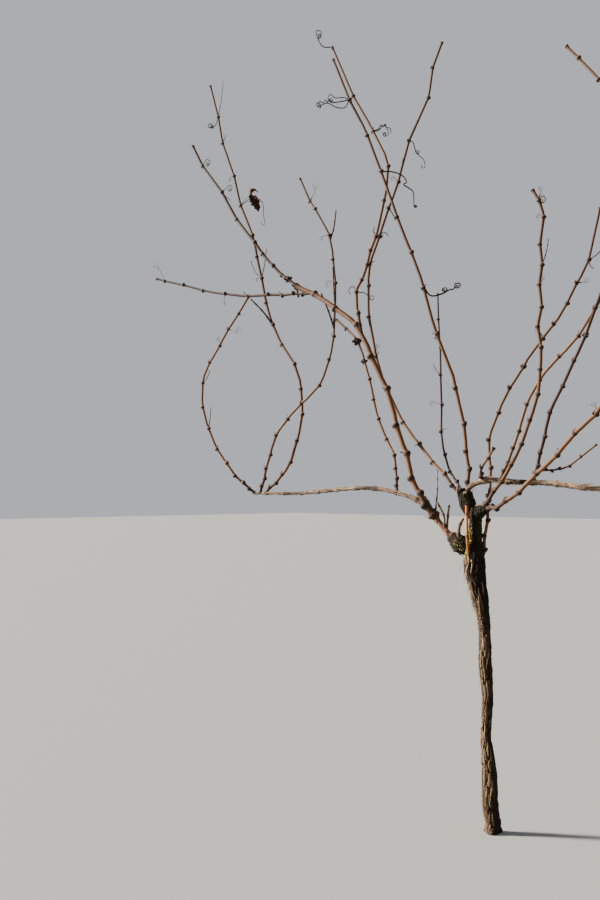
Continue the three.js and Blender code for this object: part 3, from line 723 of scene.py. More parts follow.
def tendril_path(node, steps, size=1.0):
    """A tendril leaves opposite the bud, runs out and curls round a small ring."""
    out = unit(-node["hand"] * node["bud"] + node["along"] * TENDRIL["rise"])
    lift = unit(np.cross(out, (0.0, 1.0, 0.0)))
    reach = TENDRIL["reach"] * between(TENDRIL["spread"], node["twig_share"]) * size
    curl = TENDRIL["curl"] * size
    stations = []
    for share in np.linspace(0.0, 1.0, steps + 1):
        curled = max(0.0, share - TENDRIL["curl_from"]) / (1 - TENDRIL["curl_from"])
        angle = curled * TENDRIL["turns"] * math.tau
        run = reach * min(share / TENDRIL["run"], 1.0) + curl * math.sin(angle)
        place = node["centre"] + out * run + lift * curl * (1 - math.cos(angle))
        place[1] += TENDRIL["drift"] * size * share
        stations.append((place, TENDRIL["thick"] / 2))
    return stations


class Room:
    """The space that is taken, so that a twig is grown only where it stays clear."""

    def __init__(self):
        self.places = np.empty((0, 3))
        self.radii = np.empty(0)
        self.owners = []

    def take(self, owner, stations):
        """Marks stations as taken by their owner."""
        self.places = np.vstack([self.places, [place for place, _ in stations]])
        self.radii = np.append(self.radii, [radius for _, radius in stations])
        self.owners += [owner] * len(stations)

    def is_clear(self, owner, stations):
        """True if all stations but the first stay clear of what others have taken."""
        others = np.array([name != owner for name in self.owners])
        places = self.places[others]
        radii = self.radii[others]
        for place, radius in stations[1:]:
            gaps = np.linalg.norm(places - place, axis=1) - radii - radius
            if gaps.min() <= CLEARANCE + SAMPLE_STEP / 2:
                return False
        return True

    def keep(self, owner, kept, stations):
        """Adds the stations to the kept ones if they are clear, and says whether they are."""
        if not self.is_clear(owner, stations):
            return False
        kept.append(stations)
        self.take(owner, stations)
        return True


def far_canes(line):
    """The settings of the canes at the far end of the right fruiting cane."""
    draw = seeded_random(FAR_CANES["seed"])
    canes = []
    for order in range(FAR_CANES["count"]):
        part = FAR_CANES["first"] + FAR_CANES["step"] * order
        rise, lean, across = (between(FAR_CANES[key], draw()) for key in ("rise", "lean", "across"))
        across *= 1 if order % 2 else FAR_CANES["near_side"]
        bow = between(FAR_CANES["bow"], draw())
        bends = [line.point_at(part) + (lean * share + bow * bowed, across * share, rise * share)
                 for share, bowed in FAR_CANES["bends"]]
        canes.append({"name": f"right_far_cane_{order + 1}", "on": "right_fruiting_cane",
                      "part": part, "thick": FAR_CANES["thick"], "joint": FAR_CANES["joint"],
                      "path": bends})
    return canes


@functools.cache
def vine():
    """The canes, all grown by the seeded rule, and every line; made once and shared."""
    lines = {name: Line([station[:3] for station in stations])
             for name, stations in LIMBS.items()}
    room = Room()
    for name, line in lines.items():
        room.take(name, line.samples(LIMBS[name][0][3] / 2))
    canes = []
    for order, settings in enumerate([*CANES, *far_canes(lines["right_fruiting_cane"])]):
        foot = settings.get("foot")
        if foot is None:
            foot = lines[settings["on"]].point_at(settings["part"])
        cane = Cane(order + FIRST_SEED, foot, settings)
        lines[cane.name] = cane.line
        room.take(cane.name, cane.line.samples(cane.radius(0.0)))
        canes.append(cane)
    for cane in canes:
        cane.grow_side_twigs(room)
    return {"canes": canes, "lines": lines}


def joint_place(name, joint):
    """The place of a cane's joint, counted back from its tip, which counts as 0."""
    path = next(cane["path"] for cane in CANES if cane["name"] == name)
    return path[-1 - joint]


def make_spine(places, radii, joints=None, ways=None, runs=None):
    """A chain of points with their half thickness, joint share, bud side and distance."""
    places = np.array(places, float)
    count = len(places)
    return {"places": places, "girth": np.array(radii, float),
            "joint": np.zeros(count) if joints is None else joints,
            "way": np.zeros((count, 3)) if ways is None else ways,
            "run": runs_of(places) if runs is None else runs}


def line_spine(line, parts, thick, joints=0.0, swell=0.0):
    """The spine of a stem along a line, with its thickness at both ends and small joints."""
    radii = between(thick, parts) / 2 * (1 + swell * joints)
    joints = np.full(len(parts), joints)
    return make_spine([line.point_at(part) for part in parts], radii, joints)


def cane_spine(cane):
    """The fine spine of a cane: straight between its stations and swollen at its joints."""
    rows = cane.stations()
    distances = np.array([row[0] for row in rows])
    places = np.array([row[1] for row in rows])
    marks = [0.0, cane.length, *distances]
    for node in cane.nodes:
        marks += [node["distance"] + side * ring * node["radius"]
                  for side in (-1, 1) for ring in JOINT_RINGS]
    marks = sorted(mark for mark in marks if 0.0 <= mark <= cane.length)
    runs = [marks[0]]
    for mark in marks[1:]:
        gap = mark - runs[-1]
        if gap < cane.thick[1] * LEAST_STEP:
            continue
        pieces = math.ceil(gap / PLAIN_STEP)
        runs += [runs[-1] + gap * (piece + 1) / pieces for piece in range(pieces)]
    runs = np.array(runs)
    middles = np.column_stack([np.interp(runs, distances, places[:, axis]) for axis in range(3)])
    radii = np.array([cane.radius(run) for run in runs])
    radii *= between(CANE_FULLNESS, runs / cane.length)
    joints = np.zeros(len(runs))
    ways = np.zeros((len(runs), 3))
    for node in cane.nodes:
        away = (runs - node["distance"]) / node["radius"]
        swell = np.exp(-((away / np.where(away < 0, SWELL_BELOW, SWELL_ABOVE)) ** 2))
        ways[swell > joints] = node["bud"] * node["hand"]
        joints = np.maximum(joints, swell)
    swells = between(JOINT_SWELL, smooth_step(radii, *SWELL_RANGE))
    foot = np.exp(-runs / cane.thick[0])
    tip = np.exp(-((cane.length - runs) / cane.thick[1]) ** 2)
    radii *= 1 + (swells - 1) * joints + FOOT_SWELL * foot + TIP_SWELL * tip
    # Painted shade: on these canes the dark foot reaches further out from the head.
    runs = np.maximum(runs - SHADED_FEET.get(cane.name, 0.0), 0.0)
    return make_spine(middles, radii, np.maximum(joints, tip), ways, runs)


def limb_spine(stations, step, joint=0.0, swell=0.0):
    """The fine spine of an old limb, with its thickness eased between stations."""
    line = Line([station[:3] for station in stations])
    count = math.ceil(line.length / step)
    last = len(stations) - 1
    widths = [station[3] for station in stations]
    rows = []
    for order in range(count + 1):
        share = line.share_at(order / count)
        low = min(int(share * last), last - 1)
        eased = float(smooth_step(share * last - low, 0.0, 1.0))
        radius = between((widths[low], widths[low + 1]), eased) / 2
        knot = 0.0
        if joint:
            distance = order / count * line.length
            away = abs(distance / joint - round(distance / joint)) * joint / radius
            knot = math.exp(-(away / SWELL_BELOW) ** 2)
        rows.append((line.point(share), radius * (1 + swell * knot), knot))
    places, radii, joints = zip(*rows)
    return make_spine(places, radii, np.array(joints))


def twig_spine(stations):
    """The spine of a side twig, with small joints along it."""
    line = Line([place for place, _ in stations])
    count = max(TWIG_RINGS, math.ceil(line.length / TWIG_STEP))
    parts = np.linspace(0.0, 1.0, count + 1)
    place = (parts * line.length + TWIG_KNOTS["start"]) / TWIG_KNOTS["every"] % 1.0 - 0.5
    joints = np.exp(-(place / TWIG_KNOTS["width"]) ** 2)
    radii = np.interp(parts, np.linspace(0.0, 1.0, len(stations)), [row[1] for row in stations])
    return make_spine([line.point_at(part) for part in parts],
                      radii * (1 + TWIG_KNOTS["swell"] * joints), joints)


def walk_spine(places, thick):
    """The spine of a round stem along a walk, with its thickness at both ends."""
    line = Line(places)
    count = max(WALK_RINGS, math.ceil(line.length / WALK_STEP))
    return line_spine(line, np.linspace(0.0, 1.0, count), thick)


def tendril_spine(node, size):
    """The fine spine of a tendril, thinner towards its curl."""
    places = [place for place, _ in tendril_path(node, TENDRIL["fine_steps"], size)]
    taper = between(TENDRIL["taper"], np.linspace(0.0, 1.0, len(places)))
    return make_spine(places, TENDRIL["thick"] / 2 * taper)


def spine_mesh(name, spines):
    """A mesh of edge chains that carries the spines' numbers on its points."""
    edges = []
    start = 0
    for spine in spines:
        last = start + len(spine["places"]) - 1
        edges += [(order, order + 1) for order in range(start, last)]
        start = last + 1
    mesh = bpy.data.meshes.new(name)
    mesh.from_pydata(np.concatenate([spine["places"] for spine in spines]).tolist(), edges, [])
    for label in ("girth", "joint", "run", "way"):
        write_values(mesh, label, np.concatenate([spine[label] for spine in spines]))
    return mesh


def write_values(mesh, label, values):
    """Stores a number or a vector on each point of a mesh."""
    values = np.asarray(values, np.float32)
    kind, key = ("FLOAT", "value") if values.ndim == 1 else ("FLOAT_VECTOR", "vector")
    mesh.attributes.new(label, kind, "POINT").data.foreach_set(key, values.ravel())


def read_vectors(items, key):
    """The places of a mesh's points, or their outward directions, as rows."""
    flat = np.empty(len(items) * 3, np.float32)
    items.foreach_get(key, flat)
    return flat.reshape(-1, 3).astype(float)


def point_array(mesh):
    """The places of a mesh's points."""
    return read_vectors(mesh.vertices, "co")


def outward_array(mesh):
    """The outward direction of each point of a mesh."""
    return read_vectors(mesh.vertex_normals, "vector")


class Flow:
    """An output of a node. Reckoning with it adds maths nodes to its tree."""

    def __init__(self, wiring, socket):
        self.wiring = wiring
        self.socket = socket

    def __add__(self, other):
        return self.wiring.maths("ADD", self, other)

    def __sub__(self, other):
        return self.wiring.maths("SUBTRACT", self, other)

    def __rsub__(self, other):
        return self.wiring.maths("SUBTRACT", other, self)

    def __mul__(self, other):
        return self.wiring.maths("MULTIPLY", self, other)

    def __pow__(self, other):
        return self.wiring.maths("POWER", self, other)


class Wiring:
    """Adds nodes to a node tree and joins them."""

    def __init__(self, tree):
        self.tree = tree

    def add(self, kind, feeds=None, out=0, **settings):
        """Adds a node, sets it up, feeds its inputs and gives one of its outputs."""
        node = self.tree.nodes.new(kind)
        for key, value in settings.items():
            setattr(node, key, value)
        for key, value in (feeds or {}).items():
            if isinstance(value, Flow):
                self.tree.links.new(value.socket, node.inputs[key])
            else:
                node.inputs[key].default_value = value
        return Flow(self, node.outputs[out])

    def maths(self, operation, first, second=0.0):
        """Joins two numbers by an operation."""
        return self.add("ShaderNodeMath", {0: first, 1: second}, operation=operation)

    def scale(self, vector, factor):
        """A vector times a number."""
        return self.add("ShaderNodeVectorMath", {0: vector, 3: factor}, operation="SCALE")

    def vectors(self, operation, first, second, out=0):
        """Joins two vectors by an operation, which gives a vector, or a number with out=1."""
        feeds = {0: first, 1: second}
        return self.add("ShaderNodeVectorMath", feeds, out, operation=operation)

    def split(self, vector):
        """The three numbers of a vector."""
        node = self.add("ShaderNodeSeparateXYZ", {0: vector}).socket.node
        return [Flow(self, socket) for socket in node.outputs]

    def join(self, x, y, z):
        """A vector of three numbers."""
        return self.add("ShaderNodeCombineXYZ", {0: x, 1: y, 2: z})

    def noise(self, vector, scale, detail=2.0, roughness=0.5, run=None, out=0):
        """Soft noise at a scale, in four dimensions where a run is given."""
        feeds = {"Vector": vector, "Scale": scale, "Detail": detail, "Roughness": roughness}
        if run is None:
            return self.add("ShaderNodeTexNoise", feeds, out)
        return self.add("ShaderNodeTexNoise", {**feeds, "W": run}, out, noise_dimensions="4D")

    def ease(self, value, low, high, start=0.0, end=1.0):
        """Eases a number from start at low to end at high."""
        feeds = {0: value, 1: low, 2: high, 3: start, 4: end}
        return self.add("ShaderNodeMapRange", feeds, interpolation_type="SMOOTHSTEP")


SOCKET_KINDS = {int: "Int", float: "Float", str: "String"}


class Growth(Wiring):
    """A geometry node tree with named inputs that ends in realized, painted geometry."""

    def __init__(self, name, **inputs):
        super().__init__(bpy.data.node_groups.new(name, "GeometryNodeTree"))
        face = self.tree.interface
        kinds = {label: SOCKET_KINDS[type(value)] for label, value in inputs.items()}
        for label, kind in {"Geometry": "Geometry", **kinds, "Material": "Material"}.items():
            socket = face.new_socket(label.replace("_", " "), in_out="INPUT",
                                     socket_type=f"NodeSocket{kind}")
            if label in inputs:
                socket.default_value = inputs[label]
        face.new_socket("Geometry", in_out="OUTPUT", socket_type="NodeSocketGeometry")
        sockets = self.tree.nodes.new("NodeGroupInput").outputs
        self.inputs = {socket.name: Flow(self, socket) for socket in sockets}

    def read(self, label, kind="FLOAT"):
        """Reads a number, or a vector, stored on the points."""
        return self.add("GeometryNodeInputNamedAttribute", {"Name": label}, data_type=kind)

    def vector(self, label):
        """Reads a vector stored on the points."""
        return self.read(label, "FLOAT_VECTOR")

    def store(self, geometry, label, value, kind="FLOAT"):
        """Stores a value on the points."""
        feeds = {"Geometry": geometry, "Name": label, "Value": value}
        return self.add("GeometryNodeStoreNamedAttribute", feeds, data_type=kind, domain="POINT")

    def reshape(self, geometry, **moves):
        """Moves the points to a Position or by an Offset."""
        return self.add("GeometryNodeSetPosition", {"Geometry": geometry, **moves})

    def here(self):
        """The place of each point, as its three numbers."""
        return self.split(self.add("GeometryNodeInputPosition"))

    def random(self, low, high, seed):
        """A random number or vector for each point or instance, with a fixed seed."""
        number = isinstance(low, float)
        kind, places = ("FLOAT", (2, 3, 1)) if number else ("FLOAT_VECTOR", (0, 1, 0))
        feeds = {places[0]: low, places[1]: high, "Seed": seed}
        return self.add("FunctionNodeRandomValue", feeds, places[2], data_type=kind)

    def scatter(self, mask):
        """Points strewn on the faces, as dense as a mask allows."""
        feeds = {"Mesh": self.inputs["Geometry"], "Density": self.inputs["Density"] * mask,
                 "Seed": self.inputs["Seed"]}
        return self.add("GeometryNodeDistributePointsOnFaces", feeds)

    def aimed(self, label):
        """The turn that points a copy's top along a stored vector."""
        feeds = {"Vector": self.vector(label)}
        return self.add("FunctionNodeAlignRotationToVector", feeds, axis="Z")

    def copy(self, points, thing, turned, size):
        """Puts copies of a thing on points, turned and sized, and gives the tree."""
        feeds = {"Points": points, "Instance": thing, "Rotation": turned, "Scale": size}
        return self.finish(self.add("GeometryNodeInstanceOnPoints", feeds))

    def finish(self, geometry):
        """Realizes and paints the geometry and gives the tree."""
        solid = self.add("GeometryNodeRealizeInstances", {"Geometry": geometry})
        feeds = {"Geometry": self.add("GeometryNodeSetShadeSmooth", {"Geometry": solid}),
                 "Material": self.inputs["Material"]}
        painted = self.add("GeometryNodeSetMaterial", feeds)
        end = self.tree.nodes.new("NodeGroupOutput")
        self.tree.links.new(painted.socket, end.inputs[0])
        return self.tree


def plain_mesh(name, base, kind, set_up):
    """The plain mesh that a modifier makes of a base mesh."""
    carrier = bpy.data.objects.new(name, base)
    bpy.context.scene.collection.objects.link(carrier)
    set_up(carrier.modifiers.new(name, kind))
    graph = bpy.context.evaluated_depsgraph_get()
    mesh = bpy.data.meshes.new_from_object(carrier.evaluated_get(graph),
                                           preserve_all_data_layers=True, depsgraph=graph)
    carrier.modifiers.clear()
    bpy.data.objects.remove(carrier)
    mesh.name = name
    return mesh


def grow(name, base, tree, **values):
    """Runs a node tree on a base mesh and gives the result as a plain mesh."""

    def set_up(growth):
        growth.node_group = tree
        for item in tree.interface.items_tree:
            label = item.name.replace(" ", "_")
            if item.in_out == "INPUT" and label in values:
                growth[item.identifier] = values[label]

    mesh = plain_mesh(name, base, "NODES", set_up)
    mesh.materials.clear()
    if "material_index" in mesh.attributes:
        mesh.attributes.remove(mesh.attributes["material_index"])
    if "Material" in values:
        mesh.materials.append(values["Material"])
    return mesh


def show(name, mesh, slot, nodes=()):
    """Shows a finished mesh as a piece of the vine. Its slot is not used."""
    piece = bpy.data.objects.new(name, mesh)
    bpy.context.scene.collection.objects.link(piece)
    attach(piece, "root")
    if nodes:
        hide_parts(*nodes)


def grow_piece(name, base, tree, slot, nodes=(), **values):
    """Grows a mesh by a tree, shows it as a piece and gives it."""
    mesh = grow(name, base, tree, **values)
    show(name, mesh, slot, nodes)
    return mesh


@functools.cache
def wood_tree():
    """Wood round a spine, with fine ribs along it and a bulge under each bud."""
    tree = Growth("Cane Wood", Sides=14, Rib_depth=0.05, Rib_count=4.0, Bud_bulge=0.2)
    line = tree.add("GeometryNodeMeshToCurve", {"Mesh": tree.inputs["Geometry"]})
    feeds = {"Resolution": tree.inputs["Sides"], "Radius": 1.0}
    circle = tree.add("GeometryNodeCurvePrimitiveCircle", feeds)
    profile = tree.store(circle, "round", tree.add("GeometryNodeInputPosition"), "FLOAT_VECTOR")
    girth = tree.read("girth")
    feeds = {"Curve": line, "Profile Curve": profile, "Scale": girth, "Fill Caps": True}
    normal = tree.add("GeometryNodeInputNormal")
    tube = tree.store(tree.add("GeometryNodeCurveToMesh", feeds), "outward", normal, "FLOAT_VECTOR")
    around = tree.vector("round")
    run = tree.read("run")
    ribs = tree.noise(around, tree.inputs["Rib count"], 1.0, run=run * RIB_RUN)
    ribbed = (ribs - 0.5) * (tree.inputs["Rib depth"] * 2.0)
    facing = tree.vectors("DOT_PRODUCT", normal, tree.vector("way"), out=1)
    facing = tree.maths("MAXIMUM", facing, 0.0)
    bulge = facing * tree.read("joint") * tree.inputs["Bud bulge"]
    offset = tree.scale(normal, (ribbed + bulge) * girth)
    shaped = tree.reshape(tube, Offset=offset)
    x, y, _ = tree.split(tree.scale(around, girth))
    return tree.finish(tree.store(shaped, "limb_place", tree.join(x, y, run), "FLOAT_VECTOR"))


@functools.cache
def bark_tree():
    """Bark in long plates with cracks between them, fibres on them and lumps below."""
    tree = Growth("Bark Relief", Plate_width=0.007, Plate_length=0.06, Plate_depth=0.0026,
               Fibre_depth=0.0009, Lump_depth=0.002, Lump_scale=24.0)
    place = tree.vector("limb_place")
    stray = tree.vectors("SUBTRACT", tree.noise(place, STRAY_PITCH, out=1), (0.5, 0.5, 0.5))
    wandered = tree.vectors("ADD", place, tree.scale(stray, STRAY_REACH))
    width = tree.inputs["Plate width"]
    plates = tree.join(width, width, tree.inputs["Plate length"])
    stretched = tree.vectors("DIVIDE", wandered, plates)
    cells = {"Vector": stretched, "Scale": 1.0}
    plate = tree.split(tree.add("ShaderNodeTexVoronoi", cells, out=1))[0]
    edge = tree.add("ShaderNodeTexVoronoi", cells, feature="DISTANCE_TO_EDGE")
    fibre = tree.noise(stretched, FIBRE_PITCH, 3.0, 0.6)
    lumps = tree.noise(place, tree.inputs["Lump scale"], 1.0)
    height = tree.ease(edge, 0.0, CRACK_WIDTH) * (plate * PLATE_UNEVEN + (1 - PLATE_UNEVEN))
    offset = (height - 0.5) * tree.inputs["Plate depth"]
    fine = (fibre - 0.5) * tree.inputs["Fibre depth"] * 2.0
    coarse = (lumps - 0.5) * tree.inputs["Lump depth"] * 2.0
    raised = tree.scale(tree.add("GeometryNodeInputNormal"), offset + fine + coarse)
    above = tree.maths("GREATER_THAN", tree.here()[2], BARK_FROM)
    shaped = tree.reshape(tree.inputs["Geometry"], Offset=raised, Selection=above)
    shaped = tree.store(shaped, "crack", height)
    return tree.finish(tree.store(shaped, "plate", plate))


@functools.cache
def strips_tree():
    """Loose bark strips that hang from a limb, each fixed at one end."""
    tree = Growth("Bark Strips", Density=2000.0, Seed=3, Length=0.045, Width=0.004,
               Thickness=0.0006, Lift=0.005)
    points = tree.scatter(tree.read("shag"))
    feeds = {"Size": (1.0, 1.0, 1.0), "Vertices X": 9, "Vertices Y": 2, "Vertices Z": 2}
    block = tree.add("GeometryNodeMeshCube", feeds)
    x, y, z = tree.here()
    share = x + 0.5
    width = tree.inputs["Width"]
    power, loss = STRIP_TAPER
    across = y * width * (1.0 - share ** power * loss)
    sway = tree.maths("SINE", share * STRIP_SWAY) * (width * 0.5)
    height = z * tree.inputs["Thickness"] + share ** STRIP_BOW * tree.inputs["Lift"]
    curved = tree.join(share * tree.inputs["Length"], across + sway, height)
    strip = tree.reshape(block, Position=curved)
    stray = tree.random((-STRIP_STRAY,) * 3, (STRIP_STRAY,) * 3, seed=5)
    feeds = {"Primary Axis": tree.vector("outward"),
             "Secondary Axis": tree.vectors("ADD", tree.vector("grain"), stray)}
    turned = tree.add("FunctionNodeAxesToRotation", feeds, primary_axis="Z", secondary_axis="X")
    return tree.copy(points, strip, turned, tree.random(*STRIP_SIZES, seed=8))


@functools.cache
def tufts_tree():
    """Small rounded tufts of moss or lichen on a limb, where its mask allows them."""
    tree = Growth("Tufts", Mask="moss", Density=20000.0, Seed=4, Size=0.002, Height=0.6)
    points = tree.scatter(tree.read(tree.inputs["Mask"]))
    feeds = {"Radius": tree.inputs["Size"], "Subdivisions": 1}
    ball = tree.add("GeometryNodeMeshIcoSphere", feeds)
    size = tree.random(*TUFT_SIZES, seed=9)
    flat = tree.join(size, size, size * tree.inputs["Height"])
    return tree.copy(points, ball, tree.aimed("outward"), flat)


@functools.cache
def buds_tree():
    """Pointed buds, or flat scars, one on each point and leaning its own way."""
    tree = Growth("Buds", Width=0.0046, Length=0.009, Point=0.7, Sunk=0.6)
    points = tree.add("GeometryNodeMeshToPoints", {"Mesh": tree.inputs["Geometry"]})
    ball = tree.add("GeometryNodeMeshUVSphere", {"Segments": 9, "Rings": 7, "Radius": 1.0})
    x, y, z = tree.here()
    taper = 1.0 - tree.maths("MAXIMUM", z, 0.0) ** BUD_TAPER * tree.inputs["Point"]
    wide = taper * (tree.inputs["Width"] * 0.5)
    rise = (z + tree.inputs["Sunk"]) * (tree.inputs["Length"] * 0.5)
    bud = tree.reshape(ball, Position=tree.join(x * wide, y * wide * BUD_FLATNESS, rise))
    return tree.copy(points, bud, tree.aimed("way"), tree.read("girth"))


class Finish(Wiring):
    """A material: a rough shader whose colour, roughness and bump are wired up."""

    def __init__(self, name, roughness):
        self.material = bpy.data.materials.new(name)
        self.material.use_nodes = True
        super().__init__(self.material.node_tree)
        self.tree.nodes.clear()
        self.shader = self.tree.nodes.new("ShaderNodeBsdfPrincipled")
        self.shader.inputs["Roughness"].default_value = roughness
        self.shader.inputs["Specular IOR Level"].default_value = DULLNESS
        end = self.tree.nodes.new("ShaderNodeOutputMaterial")
        self.tree.links.new(self.shader.outputs[0], end.inputs[0])

    def stored(self, label, out=2):
        """Reads a number, or with out=1 a vector, stored on the piece."""
        return self.add("ShaderNodeAttribute", attribute_name=label, out=out)

    def here(self):
        """The place on the object."""
        return self.add("ShaderNodeTexCoord", out=3)

    def blend(self, factor, first, second):
        """Blends two colours."""
        tones = [tone if isinstance(tone, Flow) else (*tone[:3], 1.0) for tone in (first, second)]
        feeds = {0: factor, 6: tones[0], 7: tones[1]}
        return self.add("ShaderNodeMix", feeds, out=2, data_type="RGBA")

    def ramp(self, value, stops, tones):
        """A colour that passes from tone to tone, each at its own stop."""
        colour = self.add("ShaderNodeValToRGB", {0: value})
        elements = colour.socket.node.color_ramp.elements
        for order, (place, tone) in enumerate(zip(stops, tones)):
            element = elements[order] if order < 2 else elements.new(place)
            element.position = place
            element.color = (*tone[:3], 1.0)
        return colour

    def done(self, colour, height=None, reach=0.0):
        """Joins the colour and a bump of a height to the shader and gives the material."""
        if isinstance(colour, Flow):
            self.tree.links.new(colour.socket, self.shader.inputs["Base Color"])
        else:
            self.shader.inputs["Base Color"].default_value = (*colour[:3], 1.0)
        if height:
            feeds = {"Height": height, "Distance": reach, "Strength": 1.0}
            bump = self.add("ShaderNodeBump", feeds)
            self.tree.links.new(bump.socket, self.shader.inputs["Normal"])
        return self.material


def tinted(colour, factor, shift=(1.0, 1.0, 1.0)):
    """A colour made lighter or darker, and shifted by channel."""
    return tuple(min(1.0, channel * factor * part) for channel, part in zip(colour, shift))


def bark_finish(name, colour, pale, crack_colour, colours, scale=1.0):
    """Fibrous bark: dark cracks, pale worn plates, and damp with painted shade and moss by their
    masks.
    """
    coat = Finish(name, roughness=0.92)
    place = coat.stored("limb_place", out=1)
    grain = tuple(pitch * scale for pitch in BARK_GRAIN)
    fibres = coat.noise(coat.vectors("MULTIPLY", place, grain), 1.0, detail=6.0, roughness=0.65)
    patches = coat.noise(place, BARK_PATCHES * scale, detail=3.0)
    tone = coat.stored("plate") * PLATE_SHARE + fibres * FIBRE_SHARE
    worn = coat.ramp(tone, BARK_STOPS, (tinted(colour, BARK_SHADE), colour, pale))
    shaded = coat.blend(coat.ease(patches, *BROWN_EDGE), worn, tinted(colour, *BARK_BROWN))
    open_wood = coat.ease(coat.stored("crack"), *CRACK_EDGE)
    cracked = coat.blend(open_wood, crack_colour, coat.blend(BROWN_SHARE, worn, shaded))
    speckle = coat.noise(place, MOSS_SPECKLE, detail=4.0)
    cover = coat.stored("moss") * coat.ease(speckle, *MOSS_EDGE)
    flecks = coat.noise(place, BARK_FLECKS, detail=3.0)
    flecks = coat.ease(flecks, *BARK_FLECK_EDGE, end=FLECK_SHARE)
    flecked = coat.blend(flecks, cracked, tinted(pale, *BARK_FLECK))
    # The damp mask darkens for damp stains and, on the trunk, for painted shade.
    damp = coat.blend(coat.stored("damp"), flecked, colours.damp)
    mossy = coat.blend(cover, damp, colours.moss)
    return coat.done(mossy, fibres + coat.stored("crack") * CRACK_HEIGHT, BARK_BUMP / scale)


def cane_finish(name, colour, dark, pale, roughness=0.62):
    """One-year bark: fine lines along the cane, dark joints, flecks and weathered patches."""
    coat = Finish(name, roughness)
    run = coat.stored("run")
    around = coat.stored("round", out=1)
    lines = coat.noise(around, CANE_LINES, roughness=0.6, run=run * CANE_LINE_RUN)
    patches = coat.noise(coat.here(), CANE_PATCHES, detail=3.0)
    patched = coat.ease(patches, *WEATHERED_EDGE, end=WEATHERED_SHARE)
    flecks = coat.ease(coat.noise(coat.here(), CANE_FLECKS), *CANE_FLECK_EDGE, end=FLECK_SHARE)
    lined = coat.ramp(lines, CANE_STOPS, (tinted(colour, CANE_SHADE), colour, pale))
    weathered = coat.blend(patched, lined, tinted(colour, *CANE_WEATHERED))
    flecked = coat.blend(flecks, weathered, dark)
    far = coat.blend(coat.ease(run, *FAR_RUN, end=FAR_SHARE), flecked, tinted(colour, *CANE_FAR))
    near = coat.blend(coat.ease(run, *FOOT_RUN, start=FOOT_SHARE, end=0.0), far, dark)
    joint = coat.ease(coat.stored("joint"), *JOINT_EDGE, end=JOINT_SHARE)
    return coat.done(coat.blend(joint, near, dark), lines, CANE_BUMP)


def plain_finish(name, colour, speckle, roughness, scale, bump=FINE_BUMP):
    """A small thing's finish: one colour with a speckle of a second."""
    coat = Finish(name, roughness)
    grain = coat.noise(coat.here(), scale, detail=3.0)
    return coat.done(coat.blend(coat.ease(grain, *SPECKLE_EDGE), colour, speckle), grain, bump)


def tuft_finish(name, colour):
    """Dull, finely speckled moss or lichen."""
    return plain_finish(name, colour, tinted(colour, 0.45), roughness=0.95, scale=500.0)


def loose_finish(name, colour, speckle, scale=260.0):
    """Loose bark, dry and dull, with a darker speckle."""
    return plain_finish(name, colour, speckle, roughness=0.9, scale=scale)


def cut_finish(name, colour, dark):
    """A pruned face: smooth wood with faint lines along it."""
    coat = Finish(name, roughness=0.6)
    lines = coat.noise(coat.vectors("MULTIPLY", coat.here(), CUT_GRAIN), 1.0, detail=3.0)
    stain = coat.ease(coat.noise(coat.here(), CUT_STAINS), *STAIN_EDGE, end=STAIN_SHARE)
    shade, shine = (tinted(colour, factor) for factor in CUT_SHADES)
    lined = coat.ramp(lines, CUT_STOPS, (shade, colour, shine))
    return coat.done(coat.blend(stain, lined, dark), lines, FINE_BUMP)


class VineSizes(bpy.types.PropertyGroup):
    """Sizes of the bark, canes and small growth."""

    voxel: FloatProperty(
        name="Trunk mesh size", description="Edge of the trunk's mesh cells", default=0.00145,
        unit="LENGTH")
    plate_width: FloatProperty(
        name="Bark plate width", description="Width of one strip of bark", default=0.0058,
        unit="LENGTH")
    plate_length: FloatProperty(
        name="Bark plate length", description="Length of one strip of bark", default=0.062,
        unit="LENGTH")
    plate_depth: FloatProperty(
        name="Bark depth", description="Depth of the cracks in the trunk's bark",
        default=0.0034, unit="LENGTH")
    strip_length: FloatProperty(
        name="Loose strip length", description="Length of a hanging strip", default=0.042,
        unit="LENGTH")
    strip_density: FloatProperty(
        name="Loose strips", description="Strips for each square metre", default=3600.0)
    cane_sides: IntProperty(name="Cane sides", description="Sides round a cane", default=14)
    rib_depth: FloatProperty(
        name="Rib depth", description="Depth of a cane's ribs as a share of its half thickness",
        default=0.09)
    bud_bulge: FloatProperty(
        name="Bud cushion", description="Height of the cushion under a bud, as that share",
        default=0.42)
    bud_width: FloatProperty(
        name="Bud width", description="Width of a full bud", default=0.0070, unit="LENGTH")
    bud_length: FloatProperty(
        name="Bud length", description="Length of a full bud", default=0.0128, unit="LENGTH")
    tuft_size: FloatProperty(
        name="Moss tuft", description="Half the width of a tuft", default=0.0016,
        unit="LENGTH")


